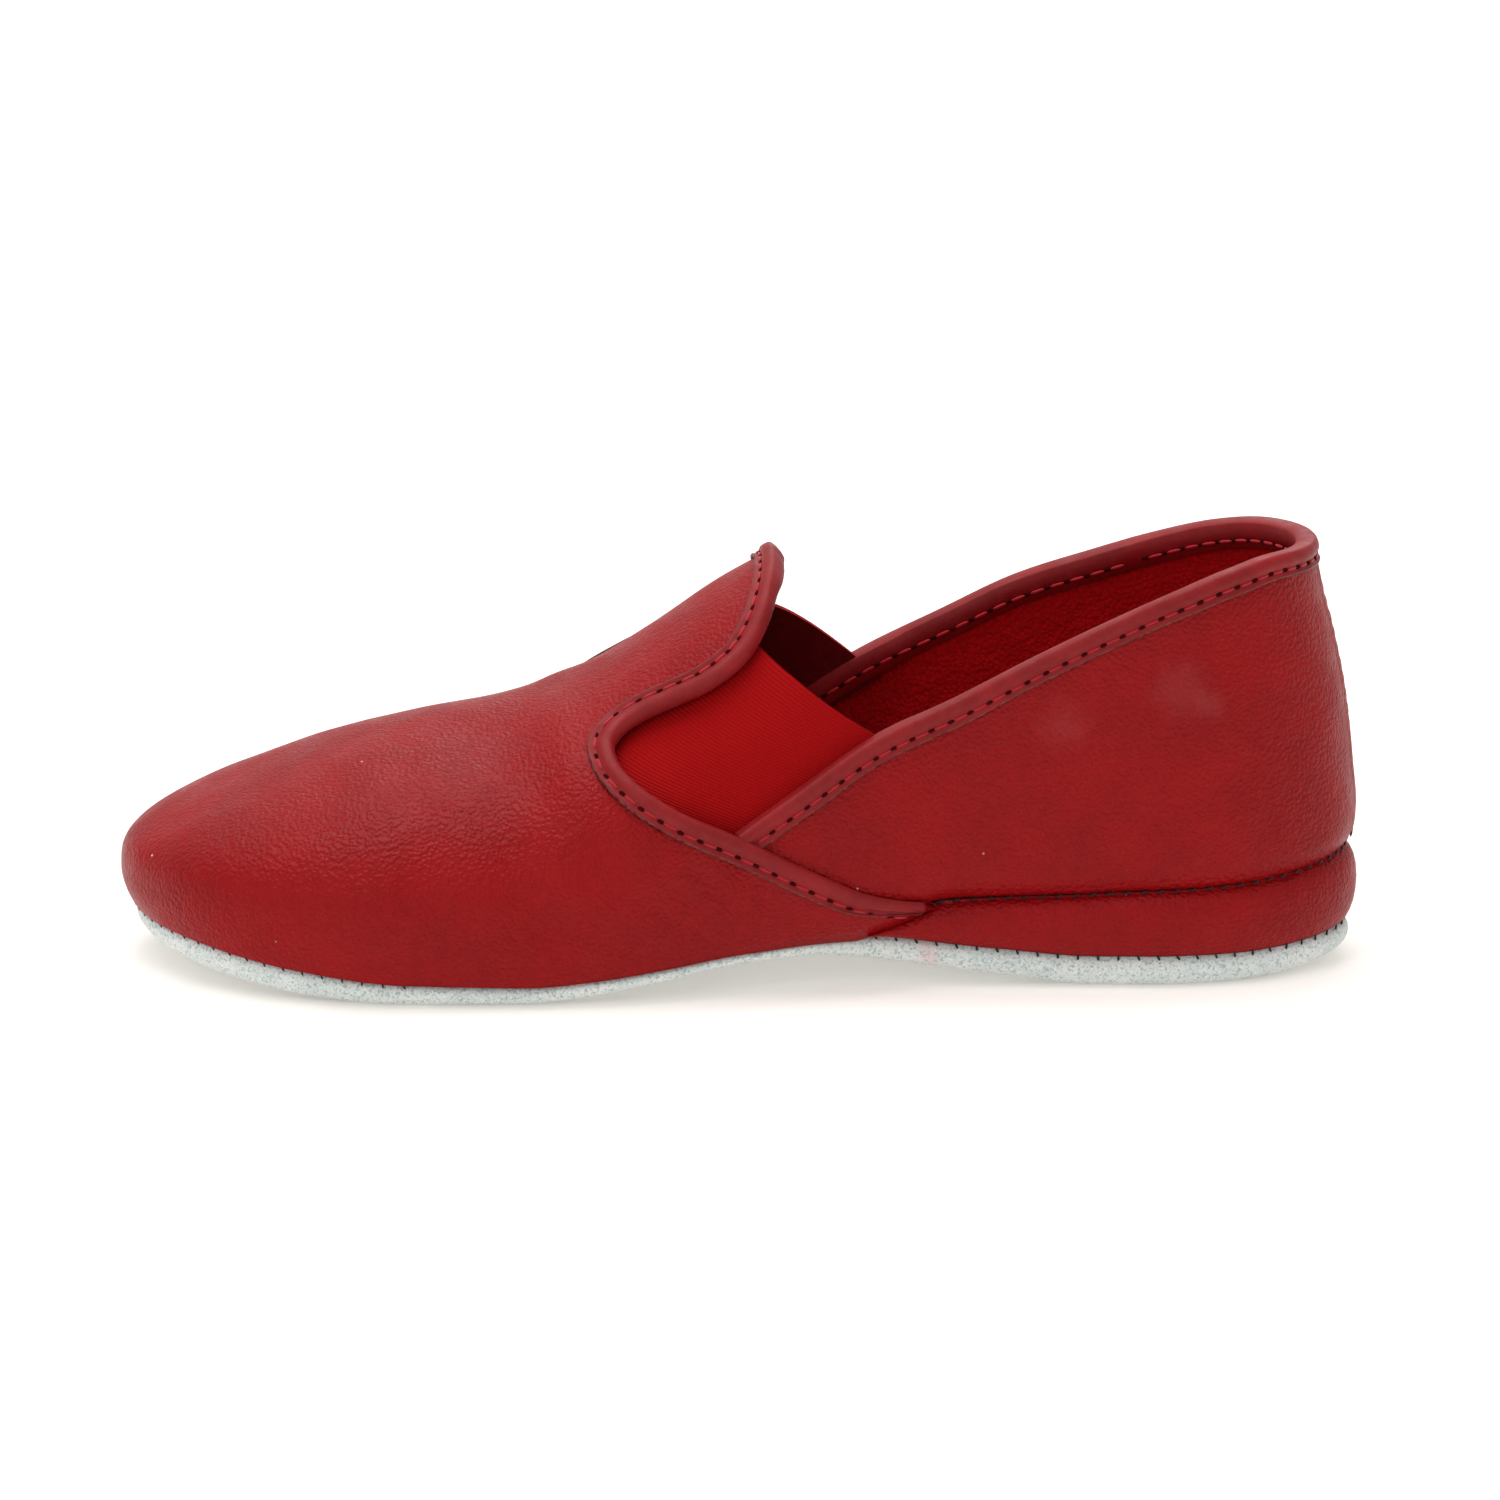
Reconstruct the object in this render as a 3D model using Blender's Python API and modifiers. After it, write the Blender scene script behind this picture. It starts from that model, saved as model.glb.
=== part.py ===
"""A left leather slipper with elastic gores, a covered heel wedge and a soft suede sole.

The toe points to -X, the outer side of the foot is -Y and +Z is up. Stations are measured forward from
the back of the heel. One skin, worked out from the tables below, gives the outside of the quarter. The
vamp lies over it, and the bindings, the gores and the insole are set off from it.
"""
import math
from bisect import bisect_right
from collections import namedtuple

import bmesh
import bpy
import numpy as np
from mathutils import Vector

# Driving sizes, in metres
LENGTH = 0.257            # back of the heel to the front of the toe
BALL_WIDTH = 0.0925       # skin at the ball of the foot
HEEL_WIDTH = 0.063        # skin at the heel
INSTEP_HEIGHT = 0.0865    # floor to the skin at the top of the tongue
BACK_HEIGHT = 0.0903      # floor to the top of the collar at the back
TOE_SWING = 0.003         # shift of the ridge and the toe to the inner side
TOE_OVERHANG = 0.0022     # toe of the upper in front of the sole
HEEL_OVERHANG = 0.0012    # heel of the wedge behind the sole
WALL = 0.0022             # leather with its lining
VAMP_PROUD = 0.001        # how far the vamp stands over the quarter
GAP = 0.0003              # clearance between pieces
BINDING_ROOM = 0.00055    # clearance under a binding's legs, on curved leather
SOLE_THICK = 0.0065
ARCH_RISE = 0.0056
TOE_SPRING = 0.006
WEDGE_HEIGHT = 0.0164
WEDGE_BULGE = 0.0018
INSOLE_THICK = 0.003
BINDING_THICK = 0.0008
BINDING_WIDTH = 0.0055
GORE_THICK = 0.0012

# Stations where the fans of sections at heel and toe start
HEEL_CENTRE = 0.175 * LENGTH
TOE_CENTRE = 0.778 * LENGTH
QUARTER_FRONT = 0.530 * LENGTH
COLLAR_FRONT = 0.492 * LENGTH
TOE_POWER = 3.9             # squareness of the section at the tip of the toe
HEEL_STEPS = 8
TOE_STEPS = 8

# Half widths: a share of the named width on each side of the axis
Width = namedtuple("Width", "at size outer inner sole_outer sole_inner")
WIDTHS = (
    Width(0.175, HEEL_WIDTH, 0.500, 0.500, 0.480, 0.480),
    Width(0.300, HEEL_WIDTH, 0.505, 0.492, 0.468, 0.452),
    Width(0.400, BALL_WIDTH, 0.372, 0.346, 0.308, 0.282),
    Width(0.448, BALL_WIDTH, 0.388, 0.356, 0.334, 0.292),
    Width(0.521, BALL_WIDTH, 0.420, 0.392, 0.400, 0.338),
    Width(0.572, BALL_WIDTH, 0.452, 0.428, 0.444, 0.388),
    Width(0.623, BALL_WIDTH, 0.481, 0.462, 0.474, 0.436),
    Width(0.669, BALL_WIDTH, 0.495, 0.487, 0.487, 0.468),
    Width(0.724, BALL_WIDTH, 0.500, 0.499, 0.491, 0.484),
    Width(0.778, BALL_WIDTH, 0.497, 0.500, 0.487, 0.486),
)

# Heights of the skin, as shares of the instep height: the ridge and the widest line, and how square the
# section is. Behind the tongue the ridge is only where the walls of the quarter aim at.
Height = namedtuple("Height", "at crown widest power swing")
HEIGHTS = (
    Height(0.175, 1.600, 0.360, 2.2, 0.0),
    Height(0.300, 1.550, 0.330, 2.2, 0.1),
    Height(0.400, 1.300, 0.300, 2.2, 0.3),
    Height(0.448, 1.075, 0.300, 2.3, 0.5),
    Height(0.475, 0.978, 0.295, 2.3, 0.6),
    Height(0.521, 0.885, 0.277, 2.3, 0.8),
    Height(0.572, 0.774, 0.254, 2.2, 1.0),
    Height(0.623, 0.677, 0.231, 2.2, 1.0),
    Height(0.669, 0.617, 0.214, 2.2, 1.0),
    Height(0.724, 0.580, 0.202, 2.2, 1.0),
    Height(0.778, 0.541, 0.197, 2.2, 1.0),
    Height(0.880, 0.440, 0.200, 2.2, 1.0),
    Height(1.000, 0.325, 0.205, 2.2, 1.0),
)

# Back of the quarter: height as a share of the back height, set-back as a share of the length
Back = namedtuple("Back", "at setback")
BACK = (
    Back(0.200, 0.0110),
    Back(0.280, 0.0050),
    Back(0.360, 0.0030),
    Back(0.450, 0.0058),
    Back(0.576, 0.0105),
    Back(0.664, 0.0155),
    Back(0.720, 0.0198),
    Back(0.800, 0.0265),
    Back(0.860, 0.0325),
    Back(0.930, 0.0375),
    Back(1.000, 0.0425),
)

# Sole and wedge: shares of the arch rise, the toe spring, the sole's thickness and the wedge's height.
# The seat is the line that the insole follows.
Tread = namedtuple("Tread", "at arch spring thick wedge seat")
TREADS = (
    Tread(0.000, 0.40, 0.00, 0.86, 1.000, 1.000),
    Tread(0.100, 0.00, 0.00, 1.00, 0.900, 0.900),
    Tread(0.218, 0.00, 0.00, 1.00, 0.820, 0.820),
    Tread(0.300, 0.38, 0.00, 0.92, 0.665, 0.665),
    Tread(0.342, 0.62, 0.00, 0.87, 0.555, 0.565),
    Tread(0.374, 0.80, 0.00, 0.86, 0.270, 0.430),
    Tread(0.402, 0.96, 0.00, 0.82, 0.050, 0.300),
    Tread(0.410, 1.00, 0.00, 0.77, 0.000, 0.270),
    Tread(0.448, 1.18, 0.00, 0.57, 0.000, 0.150),
    Tread(0.500, 1.10, 0.00, 0.50, 0.000, 0.060),
    Tread(0.572, 0.64, 0.00, 0.56, 0.000, 0.000),
    Tread(0.635, 0.22, 0.00, 0.64, 0.000, 0.000),
    Tread(0.685, 0.00, 0.00, 0.72, 0.000, 0.000),
    Tread(0.778, 0.00, 0.00, 0.80, 0.000, 0.000),
    Tread(0.864, 0.00, 0.18, 0.96, 0.000, 0.000),
    Tread(0.938, 0.00, 0.52, 1.04, 0.000, 0.000),
    Tread(1.000, 0.00, 1.00, 0.86, 0.000, 0.000),
)

# Top line of the quarter, as shares of the back height on the outer and the inner side
Collar = namedtuple("Collar", "at outer inner")
COLLAR = (
    Collar(0.035, 0.994, 0.994),
    Collar(0.072, 1.000, 0.984),
    Collar(0.112, 0.980, 0.960),
    Collar(0.160, 0.934, 0.920),
    Collar(0.206, 0.876, 0.880),
    Collar(0.270, 0.788, 0.820),
    Collar(0.332, 0.696, 0.732),
    Collar(0.399, 0.608, 0.632),
    Collar(0.465, 0.480, 0.500),
    Collar(0.512, 0.388, 0.400),
    Collar(0.545, 0.320, 0.325),
)

# Rear edge of the vamp, from the wedge up to the tongue: height as a share of the instep height,
# station as a share of the length
Edge = namedtuple("Edge", "at station")
VAMP_EDGE = (
    Edge(0.215, 0.357),
    Edge(0.227, 0.384),
    Edge(0.246, 0.410),
    Edge(0.272, 0.430),
    Edge(0.310, 0.457),
    Edge(0.361, 0.490),
    Edge(0.396, 0.514),
    Edge(0.453, 0.557),
    Edge(0.518, 0.594),
    Edge(0.560, 0.609),
    Edge(0.594, 0.613),
    Edge(0.628, 0.604),
    Edge(0.662, 0.586),
    Edge(0.696, 0.562),
    Edge(0.743, 0.531),
    Edge(0.815, 0.501),
    Edge(0.890, 0.486),
    Edge(0.960, 0.477),
    Edge(1.000, 0.473),
)
TAIL = 0.350 * LENGTH       # where the vamp's lower edge runs out on the wedge
TONGUE_LEAN = 0.006         # how much further back the tongue reaches on the inner side
LEAN_AT = 0.865 * INSTEP_HEIGHT
LEAN_SPREAD = 0.060 * INSTEP_HEIGHT

# Outline of a gore on the skin: rear line behind the quarter, front line behind the vamp
GoreRung = namedtuple("GoreRung", "rear_at rear_height front_at front_height")
GORE = (
    GoreRung(0.380, 0.600, 0.506, 0.868),
    GoreRung(0.405, 0.552, 0.539, 0.785),
    GoreRung(0.432, 0.500, 0.574, 0.712),
    GoreRung(0.460, 0.440, 0.605, 0.645),
    GoreRung(0.485, 0.380, 0.628, 0.575),
    GoreRung(0.505, 0.325, 0.622, 0.480),
)
GORE_COLUMNS = 9

# Rounded edges of the slabs: inset as a share of the roll, the bulge or the thickness, height as a share
SOLE_ROLL = 0.005           # how far the sole's rounded edge runs in under it
SOLE_EDGE = ((1.00, 0.0), (0.44, 0.10), (0.12, 0.32), (0.0, 0.58), (0.06, 0.82), (0.28, 1.0))
WEDGE_TIP = 0.402 * LENGTH
WEDGE_EDGE = ((0.6, 0.0), (-0.1, 0.22), (-0.6, 0.5), (-0.4, 0.78), (0.3, 1.0))
SOCK_ROOM = 0.0021          # between the inside of the wall and the sock
SOCK_EDGE = ((0.0, 0.0), (-0.133, 0.6), (0.267, 1.0))

# Where the bindings change, as shares of the instep height and of the length
VAMP_STRIP_START = 0.225
CLEAR_OF_QUARTER = (0.400, 0.440)
TONGUE_FREE = (0.925, 0.965)
TONGUE_INNER_LEG = (0.968, 0.990)
GORE_REACHED = (0.350, 0.372)
COLLAR_INNER_LEG = (0.330, 0.350)

VAMP_ROWS = 22
VAMP_TUCK_ROWS = 4
VAMP_COLUMNS = 9
ROW_CROWDING = 1.5          # rows of the vamp lie closer together towards the ridge
ROW_LIFT = 1.8              # rows leave the rear edge steeply, so that none runs along it
QUARTER_ROWS = 9
QUARTER_COLUMNS = 16


def along(pairs, at):
    """Value at a station: a cubic through the pairs that keeps flat stretches flat."""
    stations = [pair[0] for pair in pairs]
    values = [pair[1] for pair in pairs]
    at = min(max(at, stations[0]), stations[-1])
    low_row = min(max(bisect_right(stations, at) - 1, 0), len(pairs) - 2)

    def steep(row):
        return (values[row + 1] - values[row]) / (stations[row + 1] - stations[row])

    def slope(row):
        if row == 0:
            return steep(0)
        if row == len(pairs) - 1:
            return steep(row - 1)
        before, after = steep(row - 1), steep(row)
        return 0.0 if before * after <= 0 else 2 * before * after / (before + after)

    run = stations[low_row + 1] - stations[low_row]
    t = (at - stations[low_row]) / run
    return ((1 + 2 * t) * (1 - t) ** 2 * values[low_row] + t * (1 - t) ** 2 * run * slope(low_row)
            + t * t * (3 - 2 * t) * values[low_row + 1] - t * t * (1 - t) * run * slope(low_row + 1))


def pairs(rows, column, scale, span=LENGTH):
    """One column of a table as station and value pairs, in metres."""
    return [(row.at * span, getattr(row, column) * (row.size if scale is None else scale)) for row in rows]


HALF = {name: pairs(WIDTHS, name, None) for name in ("outer", "inner", "sole_outer", "sole_inner")}
CROWN = pairs(HEIGHTS, "crown", INSTEP_HEIGHT)
WIDEST = pairs(HEIGHTS, "widest", INSTEP_HEIGHT)
POWER = pairs(HEIGHTS, "power", 1.0)
SWING = pairs(HEIGHTS, "swing", TOE_SWING)
SETBACK = pairs(BACK, "setback", LENGTH, BACK_HEIGHT)
ARCH = pairs(TREADS, "arch", ARCH_RISE)
SPRING = pairs(TREADS, "spring", TOE_SPRING)
THICK = pairs(TREADS, "thick", SOLE_THICK)
WEDGE = pairs(TREADS, "wedge", WEDGE_HEIGHT)
SEAT = pairs(TREADS, "seat", WEDGE_HEIGHT)
TOPLINE = {-1: pairs(COLLAR, "outer", BACK_HEIGHT), 1: pairs(COLLAR, "inner", BACK_HEIGHT)}
REAR_EDGE = pairs(VAMP_EDGE, "station", LENGTH, INSTEP_HEIGHT)


def sole_bottom(s):
    return along(ARCH, s) + along(SPRING, s)


def sole_top(s):
    return sole_bottom(s) + along(THICK, s)


def low(s):
    """Lower edge of the upper, on the wedge or on the sole."""
    return sole_top(s) + along(WEDGE, s) + GAP


def reach(s, side, sole=False):
    """Distance from the ridge line out to the skin's widest line, or to the sole's edge."""
    name = ("sole_" if sole else "") + ("outer" if side < 0 else "inner")
    return along(HALF[name], s) - side * along(SWING, s)


def reach_at(s, z, side):
    """Distance from the ridge line out to the skin at one height."""
    full, middle = reach(s, side), along(WIDEST, s)
    if z >= middle:
        power = along(POWER, s)
        rise = min((z - middle) / (along(CROWN, s) - middle), 1.0)
        return full * (1.0 - rise ** power) ** (1.0 / power)
    drop = (middle - z) / (middle - low(s))
    return full - (full - reach(s, side, True)) * drop * drop


def place(s, y, z):
    """A point of the model from its station, its offset to the side and its height."""
    return Vector((0.5 * LENGTH - s, y, z))


def wall_point(side, z, s=None, turn=None):
    """Skin of the quarter at a height: at a station, or at a turn round the heel from the back."""
    if s is not None:
        return place(s, along(SWING, s) + side * reach_at(s, z, side), z)
    depth = HEEL_CENTRE - along(SETBACK, z)
    y = side * reach_at(HEEL_CENTRE, z, side) * math.sin(turn) + along(SWING, HEEL_CENTRE)
    return place(HEEL_CENTRE - depth * math.cos(turn), y, z)


def arch_turn(s, z, side):
    """Turn of a skin point over the arch: -1 at the lower edge, 0 at the widest line, 1 at the ridge."""
    middle = along(WIDEST, s)
    if z < middle:
        return -(middle - z) / (middle - low(s))
    across = reach_at(s, z, side) / reach(s, side)
    return math.atan2((z - middle) / (along(CROWN, s) - middle), across) / (0.5 * math.pi)


def arch_point(side, turn, s=None, fan=None):
    """Skin of the vamp at a turn over the arch: at a station, or at an angle of the fan over the toe."""
    centre = TOE_CENTRE if s is None else s
    wide, foot = reach(centre, side), reach(centre, side, True)
    ahead, ahead_foot, power = 0.0, 0.0, along(POWER, centre)
    if fan is not None:
        ahead = LENGTH - VAMP_PROUD - TOE_CENTRE
        ahead_foot = ahead - TOE_OVERHANG
        power += (TOE_POWER - power) * math.sin(fan) ** 2
    sine, cosine = (math.sin(fan), math.cos(fan)) if fan is not None else (0.0, 1.0)
    if turn >= 0.0:
        angle = 0.5 * math.pi * turn
        norm = (math.cos(angle) ** power + math.sin(angle) ** power) ** (1.0 / power)
        out, up = max(math.cos(angle), 0.0) / norm, math.sin(angle) / norm
    else:
        shrink = (foot / wide) * cosine ** 2 + (ahead_foot / ahead if ahead else 1.0) * sine ** 2
        out, up = 1.0 - (1.0 - shrink) * turn * turn, turn
    station = centre + ahead * sine * out
    middle = along(WIDEST, station)
    height = (along(CROWN, station) - middle) if up >= 0.0 else (middle - low(station))
    y = along(SWING, centre) + side * wide * cosine * out
    return place(station, y, middle + height * up)


def skin_value(point):
    """Negative inside the skin, nought on it, positive outside, between heel and toe fan."""
    s, z = 0.5 * LENGTH - point.x, point.z
    if s < HEEL_CENTRE:
        y = point.y - along(SWING, HEEL_CENTRE)
        wide = reach_at(HEEL_CENTRE, z, -1 if y < 0 else 1)
        depth = HEEL_CENTRE - along(SETBACK, z)
        return math.hypot((HEEL_CENTRE - s) / depth, y / wide) - 1.0
    y = point.y - along(SWING, s)
    side = -1 if y < 0 else 1
    middle = along(WIDEST, s)
    if z <= middle:
        return abs(y) / reach_at(s, z, side) - 1.0
    power = along(POWER, s)
    up = (z - middle) / (along(CROWN, s) - middle)
    return ((abs(y) / reach(s, side)) ** power + up ** power) ** (1.0 / power) - 1.0


def gradient(point, step=0.0002):
    axes = (Vector((step, 0, 0)), Vector((0, step, 0)), Vector((0, 0, step)))
    return Vector([(skin_value(point + a) - skin_value(point - a)) / (2 * step) for a in axes])


def on_skin(point, offset=0.0):
    """The skin point nearest to a point, moved out along the skin's normal by an offset."""
    for _ in range(4):
        slope = gradient(point)
        point = point - slope * (skin_value(point) / slope.length_squared)
    return point + gradient(point).normalized() * offset


def new_object(name, collection, points, faces, outward=None):
    """A mesh object. An open sheet is turned so that its faces look away from a given point."""
    mesh = bpy.data.meshes.new(name)
    work = bmesh.new()
    corners = [work.verts.new(point) for point in points]
    for face in faces:
        ring = [corners[index] for index in face]
        work.faces.new(ring)
    bmesh.ops.remove_doubles(work, verts=work.verts, dist=0.00002)
    bmesh.ops.dissolve_degenerate(work, edges=work.edges, dist=0.00002)
    bmesh.ops.recalc_face_normals(work, faces=work.faces)
    if outward is not None:
        turned = sum(face.normal.dot(face.calc_center_median() - outward) for face in work.faces)
        if turned < 0:
            bmesh.ops.reverse_faces(work, faces=work.faces)
    work.to_mesh(mesh)
    work.free()
    mesh.shade_smooth()
    mesh.set_sharp_from_angle(angle=math.radians(45))
    made = bpy.data.objects.new(name, mesh)
    collection.objects.link(made)
    return made


def grid_faces(rows, columns, first=0):
    """Faces of a grid stored row by row."""
    faces = []
    for row in range(rows - 1):
        for column in range(columns - 1):
            corner = first + row * columns + column
            faces.append((corner, corner + 1, corner + columns + 1, corner + columns))
    return faces


def tube_faces(rings, count, first=0):
    """Faces of a closed tube of rings with a flat cap at each end."""
    faces = []
    for ring in range(rings - 1):
        for index in range(count):
            after = (index + 1) % count
            corner = first + ring * count
            faces.append((corner + index, corner + after, corner + count + after, corner + count + index))
    return faces


def edge_run(side, count):
    """Rear edge of the vamp on one side as (station, height) pairs, evenly spaced from tail to ridge."""
    heights = np.linspace(VAMP_EDGE[0].at, VAMP_EDGE[-1].at, 240) * INSTEP_HEIGHT
    points, stations, levels = [], [], []
    for z in heights:
        s = along(REAR_EDGE, z)
        if side > 0:
            s -= TONGUE_LEAN * math.exp(-((z - LEAN_AT) / LEAN_SPREAD) ** 2)
        z = min(z, along(CROWN, s))
        points.append(tuple(wall_point(side, z, s=s)))
        stations.append(s)
        levels.append(z)
    steps = np.linalg.norm(np.diff(np.array(points), axis=0), axis=1)
    travelled = np.concatenate(([0.0], np.cumsum(steps)))
    wanted = np.linspace(0.0, travelled[-1], count)
    return list(zip(np.interp(wanted, travelled, stations), np.interp(wanted, travelled, levels)))


def vamp_sheet(collection):
    """Open sheet of the vamp: rows run from the rear edge to the toe, from lower edge up to the ridge."""
    points, faces = [], []
    columns = VAMP_COLUMNS + TOE_STEPS + 1
    for side in (-1, 1):
        first = len(points)
        run = edge_run(side, VAMP_ROWS + 1)
        for row, (edge_s, edge_z) in enumerate(run):
            if row <= VAMP_TUCK_ROWS:
                front_turn = -1.0 + row / VAMP_TUCK_ROWS
            else:
                climb = (row - VAMP_TUCK_ROWS) / (VAMP_ROWS - VAMP_TUCK_ROWS)
                front_turn = 1.0 - (1.0 - climb) ** ROW_CROWDING
            rear_turn = 1.0 if row == VAMP_ROWS else arch_turn(edge_s, edge_z, side)
            if row == 0:
                edge_s, rear_turn = TAIL, -1.0
            for column in range(VAMP_COLUMNS + 1):
                share = column / VAMP_COLUMNS
                s = edge_s + (TOE_CENTRE - edge_s) * share
                lift = 1.0 - (1.0 - share) ** ROW_LIFT
                points.append(arch_point(side, rear_turn + (front_turn - rear_turn) * lift, s=s))
            for step in range(1, TOE_STEPS + 1):
                fan = 0.5 * math.pi * step / TOE_STEPS
                points.append(arch_point(side, front_turn, fan=fan))
        faces += grid_faces(VAMP_ROWS + 1, columns, first)
    return new_object("upper", collection, points, faces, place(TOE_CENTRE, 0.0, 0.01))


def quarter_columns():
    """Columns of the quarter as (side, station, turn), from the outer front round the heel."""
    sides = []
    for side in (-1, 1):
        stations = [QUARTER_FRONT] + [COLLAR_FRONT + (HEEL_CENTRE - COLLAR_FRONT) * k / QUARTER_COLUMNS
                                      for k in range(QUARTER_COLUMNS)]
        turns = [0.5 * math.pi * (1 - k / HEEL_STEPS) for k in range(HEEL_STEPS + 1)]
        sides.append([(side, s, None) for s in stations] + [(side, None, turn) for turn in turns])
    return sides[0] + sides[1][-2::-1]


def column_station(station, turn, z):
    """Station of a quarter column at a height."""
    if station is not None:
        return station
    return HEEL_CENTRE - (HEEL_CENTRE - along(SETBACK, z)) * math.cos(turn)


def raw_collar(s, side):
    """Cut edge of the quarter, under the collar binding."""
    return along(TOPLINE[side], s) - BINDING_THICK - GAP


def quarter_sheet(collection):
    """Open sheet of the quarter: columns round the heel, rows from lower edge to collar."""
    columns = quarter_columns()
    rows = []
    for row in range(QUARTER_ROWS + 1):
        share = row / QUARTER_ROWS
        for side, s, turn in columns:
            bottom = low(column_station(s, turn, 0.25 * BACK_HEIGHT))
            top = raw_collar(column_station(s, turn, 0.95 * BACK_HEIGHT), side)
            z = bottom + (top - bottom) * share
            rows.append(wall_point(side, z, s=s, turn=turn))
    faces = grid_faces(QUARTER_ROWS + 1, len(columns))
    return new_object("quarter", collection, rows, faces, place(HEEL_CENTRE, 0.0, 0.04))


def solidify(item, thickness, outward_share):
    """Wall on an open sheet, of which a share lies outside the sheet."""
    shell = item.modifiers.new("wall", "SOLIDIFY")
    shell.thickness = thickness
    shell.offset = 2.0 * outward_share - 1.0
    shell.use_even_offset = False
    shell.use_rim = True


def make_upper(parts, tools):
    """Vamp over quarter, joined where the vamp's rear edge lies on the quarter, as one hollow solid."""
    vamp = vamp_sheet(parts)
    solidify(vamp, WALL, VAMP_PROUD / WALL)
    quarter = quarter_sheet(tools)
    solidify(quarter, WALL, 0.0)
    quarter.hide_render = True
    quarter.display_type = "WIRE"
    join = vamp.modifiers.new("quarter", "BOOLEAN")
    join.operation = "UNION"
    join.solver = "EXACT"
    join.object = quarter
    return vamp


def strip_solid(name, collection, path, inward, sections):
    """A folded strip along a path on the skin. A section lists (depth into the panel, offset) pairs."""
    points = []
    last = len(path) - 1
    for index, point in enumerate(path):
        ahead = path[min(index + 1, last)] - path[max(index - 1, 0)]
        normal = gradient(point).normalized()
        into = normal.cross(ahead).normalized() * inward
        for depth, offset in sections[index]:
            shifted = point + into * depth
            if depth > 0:
                points.append(on_skin(shifted, offset))
            else:
                points.append(shifted + normal * offset)
    count = len(sections[0])
    faces = tube_faces(len(path), count)
    faces.append(tuple(range(count)))
    faces.append(tuple(range(last * count, (last + 1) * count)))
    return new_object(name, collection, points, faces)


def fold(wall_out, wall_in, width, inner_width):
    """Section of a folded strip: an outer leg, a rolled edge and an inner leg, as one closed ring."""
    thick = BINDING_THICK
    roll = thick + GAP
    face = wall_out + BINDING_ROOM
    leg = inner_width - 0.9 * GAP
    bend = -0.7 * roll if inner_width == 0 else 0.0
    return [
        (width, face),
        (width, face + thick),
        (0.45 * width, face + thick),
        (0.0, face + thick),
        (-0.7 * roll, face + 0.5 * thick),
        (-roll, wall_out),
        (-roll, wall_in + 0.4 * thick),
        (bend, wall_in),
        (leg, wall_in),
        (leg, wall_in + 0.9 * thick),
        (-GAP, wall_in + 0.95 * thick),
        (-GAP, face),
        (0.45 * width, face),
    ]


def ramp(value, start, end):
    """0 before the start, 1 after the end, soft between."""
    share = min(max((value - start) / (end - start), 0.0), 1.0)
    return share * share * (3 - 2 * share)


def make_vamp_binding(collection):
    """Binding from the outer wedge tip, round the gore and over the tongue, to the inner wedge tip."""
    path, sections = [], []
    for side in (-1, 1):
        run = [(s, z) for s, z in edge_run(side, VAMP_ROWS + 1) if z > VAMP_STRIP_START * INSTEP_HEIGHT]
        half = []
        for s, z in run:
            point = wall_point(side, min(z, along(CROWN, s) - 1e-6), s=s)
            half.append((point, s, z))
        if side > 0:
            half = half[-2::-1]
        for point, s, z in half:
            height = z / INSTEP_HEIGHT
            deep = GAP + (VAMP_PROUD - WALL - GAP) * ramp(height, *CLEAR_OF_QUARTER)
            wall_in = deep - (BINDING_ROOM + BINDING_THICK) * ramp(height, *TONGUE_FREE)
            leg = 0.9 * BINDING_WIDTH * ramp(height, *TONGUE_INNER_LEG)
            path.append(point)
            sections.append(fold(VAMP_PROUD, wall_in, BINDING_WIDTH, leg))
    return strip_solid("vamp_binding", collection, path, 1.0, sections)


def make_collar_binding(collection):
    """Binding over the quarter's top line from one gore round the heel to the other."""
    path, sections = [], []
    for side, station, turn in quarter_columns():
        if station == QUARTER_FRONT:
            continue
        s = column_station(station, turn, 0.95 * BACK_HEIGHT)
        wall_in = -WALL - (BINDING_ROOM + BINDING_THICK) * (1.0 - ramp(s / LENGTH, *GORE_REACHED))
        leg = BINDING_WIDTH * (1.0 - ramp(s / LENGTH, *COLLAR_INNER_LEG))
        path.append(wall_point(side, raw_collar(s, side), s=station, turn=turn))
        sections.append(fold(0.0, wall_in, BINDING_WIDTH, leg))
    return strip_solid("collar_binding", collection, path, -1.0, sections)


def make_gore(name, collection, side):
    """Elastic panel on the inside of the wall, behind the vamp and the quarter."""
    points = []
    outer_face = -WALL - GAP
    for offset in (outer_face, outer_face - GORE_THICK):
        for rung in GORE:
            for column in range(GORE_COLUMNS):
                share = column / (GORE_COLUMNS - 1)
                s = (rung.rear_at + (rung.front_at - rung.rear_at) * share) * LENGTH
                z = (rung.rear_height + (rung.front_height - rung.rear_height) * share) * INSTEP_HEIGHT
                points.append(on_skin(wall_point(side, z, s=s), offset))
    sheet = len(GORE) * GORE_COLUMNS
    faces = grid_faces(len(GORE), GORE_COLUMNS) + grid_faces(len(GORE), GORE_COLUMNS, sheet)
    border = list(range(GORE_COLUMNS))
    border += [row * GORE_COLUMNS + GORE_COLUMNS - 1 for row in range(1, len(GORE))]
    border += [(len(GORE) - 1) * GORE_COLUMNS + column for column in range(GORE_COLUMNS - 2, -1, -1)]
    border += [row * GORE_COLUMNS for row in range(len(GORE) - 2, 0, -1)]
    for index, corner in enumerate(border):
        after = border[(index + 1) % len(border)]
        faces.append((corner, after, after + sheet, corner + sheet))
    return new_object(name, collection, points, faces)


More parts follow.
